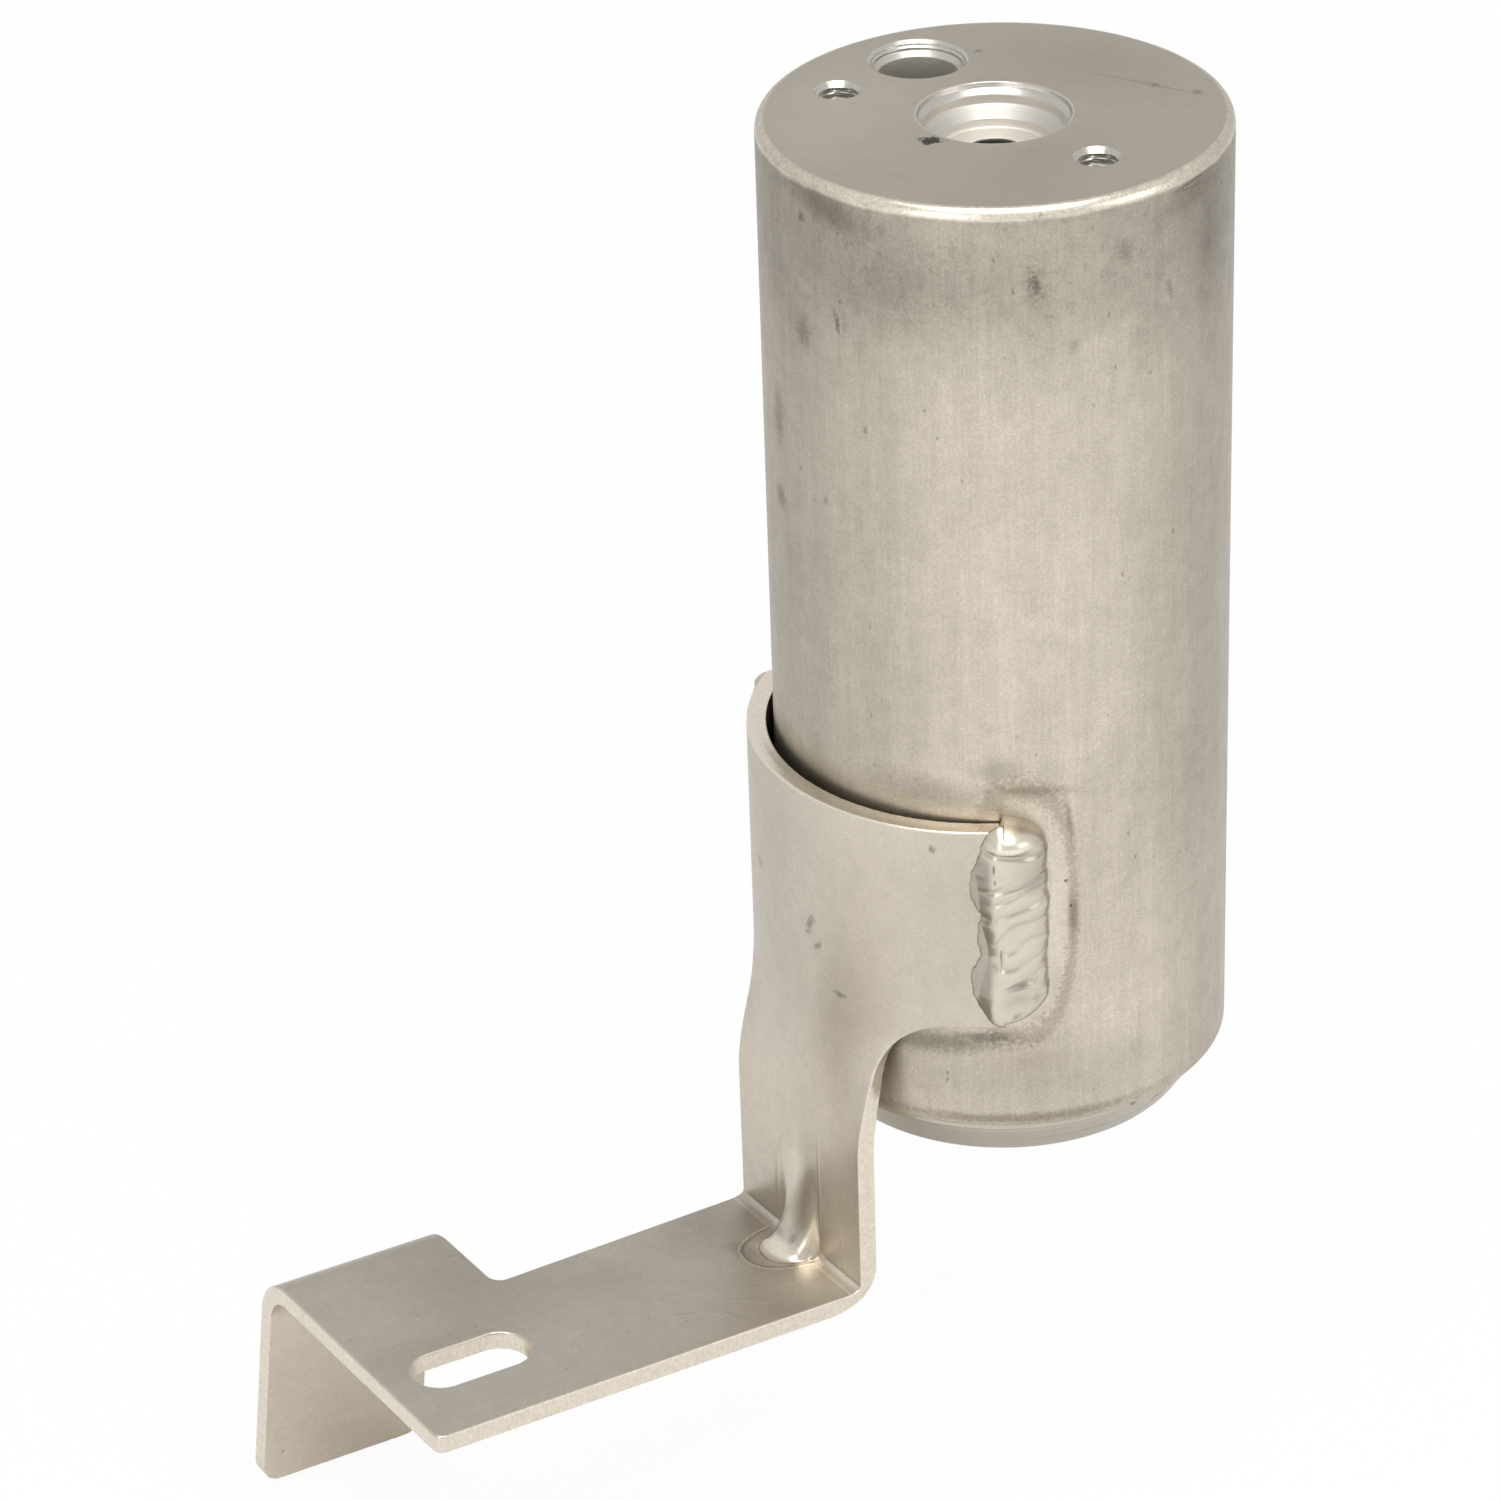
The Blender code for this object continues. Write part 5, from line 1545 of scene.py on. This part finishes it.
    def marked(self, graph: Graph, place: bpy.types.NodeSocket, level: object) -> tuple:
        """Wall marks on the unrolled wall, face marks seen from above, and the turned bores."""
        x, y, z = graph.split(place)
        across = graph.vector("LENGTH", graph.joined(x, y, 0.0))
        turn = graph.azimuth(x, y)
        unrolled = graph.joined(graph.math("MULTIPLY", turn, self.radius), z, 0.0)
        patches = graph.noise(place, 0.16, 4.0, 0.65, 0.5)
        edge = graph.math("MULTIPLY_ADD", patches, 26.0, graph.math("SUBTRACT", z, 13.0))
        band = graph.ramp(edge, 118.0, 142.0)
        blots = graph.ramp(graph.noise(place, 0.5, 5.0, 0.7), 0.5, 0.66)
        dulled = graph.math("MULTIPLY", level, graph.math("MULTIPLY_ADD", band, -0.20, 0.94))
        blotted = graph.toned(dulled, graph.math("MULTIPLY", band, blots), -0.12)
        wall, wall_brown = self.drawn(graph, unrolled, self.wall_marks + self.halo_marks, blotted)
        brushed = graph.noise(graph.vector("MULTIPLY", place, (0.25, 2.8, 1.0)), 1.0, 2.0, 0.6)
        face, face_brown = self.drawn(graph, place, self.face_marks, graph.product(
            graph.swing(brushed, 0.16), graph.swing(patches, 0.16), 0.92))
        glint = graph.noise(graph.joined(graph.math("MULTIPLY", turn, 22.0), graph.math(
            "MULTIPLY", z, 3.0), 0.0), 1.0, 4.0, 0.75)
        shoulder = graph.product(level, graph.swing(glint, 0.9), 1.50)
        on_shoulder = graph.ramp(graph.math("MULTIPLY_ADD", patches, 0.8, z),
                                 *self.shoulder_heights)
        turned = graph.group(self.effects.rings(), Vector=place, Pitch=0.35).outputs["Value"]
        seat = graph.ramp(z, *self.seat_heights)
        bore = graph.product(graph.toned(graph.swing(turned, 0.7), seat, 0.35), 1.08)
        off_wall = graph.math("LESS_THAN", across, self.face_radius)
        on_face = graph.math("MULTIPLY", off_wall,
                             graph.math("GREATER_THAN", z, self.face_height))
        in_bore = graph.math("SUBTRACT", off_wall, on_face)
        level = self.chosen(graph, on_shoulder, wall, shoulder)
        level = self.chosen(graph, on_face, self.chosen(graph, in_bore, level, bore), face)
        brown = self.chosen(graph, off_wall, wall_brown, graph.math(
            "MULTIPLY", face_brown, on_face))
        rough = self.chosen(graph, in_bore, self.chosen(graph, on_face, 1.0, 0.80),
                            graph.ramp(z, *self.shaded_heights, 0.55, 1.15))
        rough = self.chosen(graph, graph.math(
            "MULTIPLY", on_shoulder, graph.math("SUBTRACT", 1.0, off_wall)), rough, 0.62)
        return level, brown, rough, in_bore

    @staticmethod
    def chosen(graph: Graph, mask: object, off: object, on: object) -> bpy.types.NodeSocket:
        """A number that goes from off to on as the mask goes from 0 to 1."""
        node = graph.node("ShaderNodeMix", data_type="FLOAT")
        for socket, value in zip((node.inputs[0], node.inputs[2], node.inputs[3]),
                                 (mask, off, on)):
            graph.feed(socket, value)
        return node.outputs[0]


class CapPainter(MetalPainter):
    """The cap: turning lines, a bright edge and a dark mark on the cone."""

    radius = 30.0
    marks = (
        Mark((54.0, 4.5), (1.6, 0.5), 0.5, 0.1, 20.0),
        Mark((48.0, 6.0), (0.5, 0.4), 0.55, 0.1),
        Mark((30.0, 5.2), (12.0, 0.25), 1.18),
        Mark((52.0, 2.6), (20.0, 0.22), 0.82),
    )

    def marked(self, graph: Graph, place: bpy.types.NodeSocket, level: object) -> tuple:
        """Marks on the cap's unrolled side."""
        x, y, z = graph.split(place)
        around = graph.math("MULTIPLY", graph.azimuth(x, y), self.radius)
        unrolled = graph.joined(around, z, 0.0)
        level, brown = self.drawn(graph, unrolled, self.marks, level)
        return level, brown, 1.0, 0.0


class SheetPainter(MetalPainter):
    """The folded sheet: each part's own tone, sheared edges, scratches and the dart's coining."""

    def __init__(self, effects: EffectLibrary, finish: MetalFinish, size: BracketSizes) -> None:
        super().__init__(effects, finish)
        self.fold = FoldMap(size)

    def marks(self) -> tuple[Mark, ...]:
        """Marks on the blank's map, placed up the leg and out along the plate from the corner."""
        fold = self.fold
        inner = fold.corner(-fold.half)
        leg = fold.size.saddle_top - inner[2]
        plate = fold.u_on_plate(inner, -fold.half)
        return (
            Mark((2.0, -13.0), (4.0, 16.0), 1.05, 0.0, 0.0, 0.9),
            Mark((8.0, 20.0), (26.0, 14.0), 0.92, 0.0, 0.0, 0.8),
            Mark((16.0, -27.0), (18.0, 7.0), 0.88, 0.0, 0.0, 0.9),
            Mark((plate + 46.0, 19.0), (11.0, 13.0), 0.84, 0.0, 0.0, 0.8),
            Mark((plate + 60.0, 3.0), (9.0, 4.0), 0.90, 0.1, 0.0, 0.9, ragged=0.9),
            Mark((plate + 30.0, 6.0), (7.0, 4.0), 0.93, 0.0, 30.0, 0.9, ragged=0.9),
            Mark((57.0, 0.0), (16.0, 20.0), 1.13, 0.0, 0.0, 0.5, ragged=0.2),
            Mark((plate + 8.0, 10.0), (8.0, 7.0), 0.80, 0.0, 0.0, 0.8),
            Mark((plate + 4.6, -10.5), (6.0, 4.0), 1.30, 0.0, 30.0, 0.9),
            Mark((leg - 7.0, -11.0), (11.0, 5.0), 1.24, 0.0, 0.0, 0.9),
            Mark((leg - 12.0, -5.3), (8.0, 0.22), 1.25, 0.0, 0.0, 0.5, ragged=0.3),
            Mark((leg - 12.0, -4.9), (8.0, 0.20), 0.72, 0.0, 0.0, 0.5, ragged=0.3),
            Mark((leg - 10.0, 5.6), (5.0, 0.35), 1.12, 0.0, 0.0, 0.8),
            Mark((leg - 9.0, 0.5), (8.0, 0.9), 1.15, 0.0, 0.0, 0.8),
            Mark((leg - 9.0, -2.2), (9.0, 0.8), 0.88, 0.0, 0.0, 0.8),
            Mark((plate + 2.6, 0.4), (4.6, 4.0), 1.62, 0.0, 0.0, 0.6, power=2.4, ragged=0.3),
            Mark((plate - 2.2, 1.4), (1.0, 1.6), 0.72, 0.0, 20.0, 0.9, ragged=1.4),
            Mark((plate - 3.0, -1.6), (1.4, 0.5), 0.66, 0.0, 10.0, 0.9, ragged=1.4),
            Mark((plate + 0.6, 3.6), (2.6, 1.0), 0.72, 0.0, 20.0, 0.7, ragged=0.8),
            Mark((plate + 8.4, 2.0), (1.6, 3.6), 0.80, 0.0, -14.0, 0.6, ragged=0.4),
            Mark((plate + 15.0, -9.5), (5.0, 0.10), 1.18, 0.0, 38.0),
            Mark((plate + 19.0, -11.0), (2.6, 0.10), 0.78, 0.1, 62.0),
            Mark((plate + 22.0, -9.0), (2.6, 0.10), 1.18, 0.0, 50.0),
            Mark((plate + 25.0, -7.0), (2.0, 0.10), 0.80, 0.0, 20.0),
            Mark((21.0, -4.3), (1.5, 0.5), 0.66, 0.3, 20.0, 0.9, ragged=2.4),
            Mark((18.0, 9.5), (0.7, 0.8), 0.74, 0.1, 0.0, 0.9, ragged=2.4),
            Mark((24.0, -5.8), (0.8, 0.35), 0.80, 0.6, 40.0, 0.9, ragged=2.2),
            Mark((30.5, -9.5), (0.35, 0.8), 0.55, 0.1, 0.0, 0.9, ragged=2.4),
            Mark((3.0, -24.0), (0.5, 0.4), 0.84, 0.7, 0.0, 0.9, ragged=2.0),
        )

    def coined(self, graph: Graph, chart: bpy.types.NodeSocket, u: object,
               level: object) -> bpy.types.NodeSocket:
        """The border that the dart's die left on the plate: a light line, a dark one inside it."""
        fold = self.fold
        plate = fold.u_on_plate(fold.corner(-fold.half), -fold.half)
        on_plate = graph.ramp(u, plate + 0.5, plate + 2.5)
        length, half = fold.coin_reach
        wander = self.wander(graph, chart)
        for extra, ring, strength in ((0.1, 0.026, 0.40), (-0.25, 0.034, -0.32)):
            mask = graph.group(
                self.effects.mark(), Vector=chart, Centre=(*fold.coin_centre, 0.0),
                Size=(length + extra, half + extra, 1.0), Power=2.6, Ring=ring,
                Ragged=0.05, Wander=wander).outputs["Mask"]
            level = graph.toned(level, graph.math("MULTIPLY", mask, on_plate), strength)
        foot = graph.group(self.effects.mark(), Vector=chart, Centre=(plate, -0.3, 0.0),
                           Size=(6.8, 4.4, 1.0), Power=2.2, Ring=0.035, Ragged=0.06,
                           Wander=wander).outputs["Mask"]
        return graph.toned(level, graph.math("MULTIPLY", foot, on_plate), -0.5)

    def marked(self, graph: Graph, place: bpy.types.NodeSocket, level: object) -> tuple:
        """The marks, the fine scratches, the bend's two lines and the bright sheared edge."""
        fold = self.fold
        chart = graph.chart()
        u, v, w = graph.split(chart)
        scratches = graph.group(self.effects.scratches(), Vector=chart, Angle=0.6, Share=0.52)
        level = graph.toned(level, scratches.outputs["Mask"], 0.16)
        level, brown = self.drawn(graph, chart, self.marks(), level)
        level = self.coined(graph, chart, u, level)
        side = graph.math("MULTIPLY", graph.ramp(v, 29.0, 34.0), graph.ramp(w, 0.0, 1.0))
        level = graph.toned(level, side, 0.24)
        inner = fold.corner(-fold.half)
        beside = graph.ramp(graph.math("ABSOLUTE", v), 6.0, 7.0)
        for line, strength in ((fold.size.saddle_top - inner[2] - 0.6, -0.30),
                               (fold.u_on_plate(inner, -fold.half) + 1.6, 0.22)):
            near = graph.ramp(graph.math("ABSOLUTE", graph.math("SUBTRACT", u, line)), 0.45, 0.1)
            level = graph.toned(level, graph.math("MULTIPLY", near, beside), strength)
        edge = graph.zone()
        torn = graph.noise(graph.vector("MULTIPLY", chart, (2.6, 2.6, 1.3)), 1.0, 4.0, 0.75)
        upper = graph.ramp(u, 1.2, 0.3, 1.22, 1.62)
        bright = graph.math("MULTIPLY", graph.swing(torn, 0.75), upper)
        level = CanPainter.chosen(graph, edge, level, bright)
        nose = graph.math("MULTIPLY", graph.ramp(graph.math("ABSOLUTE", v), 5.2, 3.6), graph.math(
            "MULTIPLY", graph.ramp(u, fold.dart_top, fold.dart_top + 4.0),
            graph.ramp(u, fold.dart_end, fold.dart_end - 3.0)))
        polished = graph.math("MULTIPLY_ADD", nose, -0.35, 1.0)
        return level, brown, graph.toned(polished, edge, -0.2), 0.0


class WeldPainter(MetalPainter):
    """The beads: bright smooth metal, dark seams, pinholes and a crater."""

    marks = (
        Mark((-0.7, 53.2), (0.16, 0.7), 0.45, 0.3, 0.0, 0.8, ragged=1.2),
        Mark((-0.6, 51.2), (0.14, 0.3), 0.5, 0.3, 0.0, 0.8, ragged=1.2),
        Mark((2.6, 34.2), (1.5, 0.5), 0.60, 0.1, 16.0, 0.9, ragged=1.4),
        Mark((2.0, 28.6), (0.6, 0.3), 0.70, 0.2, 30.0, 0.9, ragged=1.8),
        Mark((4.6, 31.4), (0.5, 0.7), 0.82, 0.0, 0.0, 0.9, ragged=1.8),
        Mark((1.6, 57.2), (3.4, 1.6), 1.34, 0.0, -8.0, 0.6, ragged=0.4),
        Mark((2.6, 55.6), (1.6, 0.25), 0.60, 0.0, 6.0, 0.9, ragged=1.0),
        Mark((4.4, 49.9), (1.6, 1.1), 0.76, 0.0, 20.0, 0.8, ragged=0.9),
        Mark((4.4, 53.0), (2.8, 2.2), 0.84, 0.0, 30.0, 0.7, ragged=0.4),
    )

    def marked(self, graph: Graph, place: bpy.types.NodeSocket, level: object) -> tuple:
        """Marks on the bead's map; the zone darkens the seams and the melted band."""
        level, brown = self.drawn(graph, graph.chart(), self.marks, level)
        seam = graph.zone()
        level = graph.toned(level, seam, -0.42)
        brown = graph.math("MAXIMUM", brown, graph.math("MULTIPLY", seam, 0.15))
        return level, brown, 1.0, 0.0


class SoftPainter:
    """Makes the materials of the parts inside the can that aren't metal."""

    def make(self, finish: SoftFinish) -> bpy.types.Material:
        """Builds one material.

        Args:
            finish: What it looks like.

        Returns:
            The material.
        """
        material = bpy.data.materials.new(finish.name)
        material.use_nodes = True
        graph = Graph(material.node_tree)
        shader = material.node_tree.nodes["Principled BSDF"]
        place = graph.position()
        if finish.rounded_bumps:
            height = graph.math("SUBTRACT", 1.0, graph.cells(place, finish.bump_scale))
        else:
            height = graph.noise(place, finish.bump_scale, 4.0, 0.7)
        graph.feed(shader.inputs["Base Color"], graph.mix(
            graph.ramp(height, 0.3, 0.7), finish.shade, finish.colour))
        shader.inputs["Roughness"].default_value = finish.roughness
        shader.inputs["Sheen Weight"].default_value = finish.sheen
        graph.feed(shader.inputs["Normal"], graph.bump(height, finish.bump_depth * MM))
        return material


@dataclass(frozen=True)
class Softbox:
    """One rectangular lamp: where it hangs, where it points and how bright its face is."""

    name: str
    place: tuple[float, float, float]
    aim: tuple[float, float, float]
    width: float
    height: float
    radiance: float
    colour: Colour = (1.0, 0.985, 0.96)


@dataclass
class Studio:
    """The camera at the photo's place, a pale floor and soft lamps."""

    camera_place: tuple[float, float, float] = (-402.2, -563.66, 445.96)
    camera_aim: tuple[float, float, float] = (-18.295, 38.319, 39.468)
    camera_roll: float = 2.047
    lens: float = 132.94
    floor_height: float = -55.2
    lamps: tuple[Softbox, ...] = (
        Softbox("overhead", (-150.0, -300.0, 900.0), (0.0, 0.0, 60.0), 700.0, 700.0, 3.2),
        Softbox("front_left", (-900.0, -500.0, 300.0), (0.0, 0.0, 50.0), 500.0, 600.0, 1.2),
        Softbox("front_right", (500.0, -900.0, 350.0), (0.0, 0.0, 50.0), 500.0, 600.0, 1.0),
    )

    def build(self) -> None:
        """Makes the camera, the floor, the lamps and the world."""
        bpy.context.scene.view_settings.view_transform = "Standard"
        self.add_camera()
        self.add_floor()
        for lamp in self.lamps:
            self.add_lamp(lamp)
        self.add_world()

    def add_camera(self) -> None:
        """A long lens from the photo's place, rolled as the photo is."""
        data = bpy.data.cameras.new("photo_camera")
        data.lens, data.sensor_width, data.sensor_fit = self.lens, 36.0, "AUTO"
        data.clip_start, data.clip_end = 0.01, 20.0
        camera = bpy.data.objects.new("photo_camera", data)
        eye = Vector(self.camera_place) * MM
        look = Vector(self.camera_aim) * MM - eye
        turn = look.to_track_quat("-Z", "Y").to_matrix()
        roll = Matrix.Rotation(math.radians(-self.camera_roll), 3, "Z")
        camera.matrix_world = Matrix.Translation(eye) @ (turn @ roll).to_4x4()
        bpy.context.scene.collection.objects.link(camera)
        bpy.context.scene.camera = camera

    def add_floor(self) -> None:
        """A wide pale floor. Camera rays see it mostly as plain white, with a soft shadow left."""
        mesh = bpy.data.meshes.new("floor")
        r, z = 3.0, self.floor_height * MM
        mesh.from_pydata([(-r, -r, z), (r, -r, z), (r, r, z), (-r, r, z)], [], [(0, 1, 2, 3)])
        floor = bpy.data.objects.new("floor", mesh)
        bpy.context.scene.collection.objects.link(floor)
        material = bpy.data.materials.new("floor_white")
        material.use_nodes = True
        graph = Graph(material.node_tree)
        shader = material.node_tree.nodes["Principled BSDF"]
        shader.inputs["Base Color"].default_value = (0.86, 0.86, 0.86, 1.0)
        shader.inputs["Roughness"].default_value = 0.9
        shader.inputs["Specular IOR Level"].default_value = 0.1
        white = graph.node("ShaderNodeEmission")
        ray = graph.node("ShaderNodeLightPath")
        mix = graph.node("ShaderNodeMixShader")
        graph.feed(mix.inputs[0], graph.math("MULTIPLY", ray.outputs["Is Camera Ray"], 0.95))
        graph.feed(mix.inputs[1], shader.outputs[0])
        graph.feed(mix.inputs[2], white.outputs[0])
        graph.feed(material.node_tree.nodes["Material Output"].inputs["Surface"], mix.outputs[0])
        mesh.materials.append(material)

    def add_lamp(self, lamp: Softbox) -> None:
        """One area lamp whose power gives its face the stated radiance."""
        data = bpy.data.lights.new(lamp.name, "AREA")
        data.shape, data.size, data.size_y = "RECTANGLE", lamp.width * MM, lamp.height * MM
        data.energy = lamp.radiance * math.pi * data.size * data.size_y
        data.color = lamp.colour
        obj = bpy.data.objects.new(lamp.name, data)
        place = Vector(lamp.place) * MM
        turn = (Vector(lamp.aim) * MM - place).to_track_quat("-Z", "Y").to_matrix()
        obj.matrix_world = Matrix.Translation(place) @ turn.to_4x4()
        bpy.context.scene.collection.objects.link(obj)

    def add_world(self) -> None:
        """White to the camera, softer in reflections, and a dim fill for diffuse light."""
        world = bpy.data.worlds.new("studio")
        world.use_nodes = True
        bpy.context.scene.world = world
        graph = Graph(world.node_tree)
        back = world.node_tree.nodes["Background"]
        ray = graph.node("ShaderNodeLightPath")
        seen = graph.mix(ray.outputs["Is Glossy Ray"], (0.75, 0.75, 0.75), (0.68, 0.68, 0.68))
        seen = graph.mix(ray.outputs["Is Camera Ray"], seen, (1.0, 1.0, 1.0))
        graph.feed(back.inputs["Color"], seen)


def dress(obj: bpy.types.Object, material: bpy.types.Material) -> None:
    """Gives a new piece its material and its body."""
    obj.data.materials.clear()
    obj.data.materials.append(material)
    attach(obj, "root")


def dress_inside(effects: EffectLibrary) -> None:
    """Gives the carried-over pieces inside the can their materials."""
    felt = SoftPainter().make(FELT_FINISH)
    plate = MetalPainter(effects, PLATE_FINISH).make()
    for name, material in (
            ("pick_up_tube", MetalPainter(effects, TUBE_FINISH).make()),
            ("tube_strainer", SoftPainter().make(NYLON_FINISH)),
            ("lower_plate", plate), ("upper_plate", plate),
            ("lower_pad", felt), ("upper_pad", felt),
            ("desiccant_charge", SoftPainter().make(BEAD_FINISH)),
            ("bed_spring", MetalPainter(effects, WIRE_FINISH).make())):
        slots = bpy.data.objects[name].data.materials
        slots.clear()
        slots.append(material)
        log.info("%s: dressed with %s", name, material.name)


def main() -> None:
    """Builds every piece, dresses it and sets up the studio."""
    logging.basicConfig(level=logging.INFO, format="%(name)s: %(message)s")
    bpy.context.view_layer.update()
    effects = EffectLibrary()
    dress(VesselShell().build(), CanPainter(effects, CAN_FINISH).make())
    dress(BottomCap().build(), CapPainter(effects, CAP_FINISH).make())
    sheet = SheetPainter(effects, SHEET_FINISH, BracketSizes()).make()
    dress(FootBracket().build(), sheet)
    weld = WeldPainter(effects, WELD_FINISH).make()
    for side in Side:
        dress(WeldBead(side).build(), weld)
    dress_inside(effects)
    Studio().build()


if __name__ == "__main__":
    main()
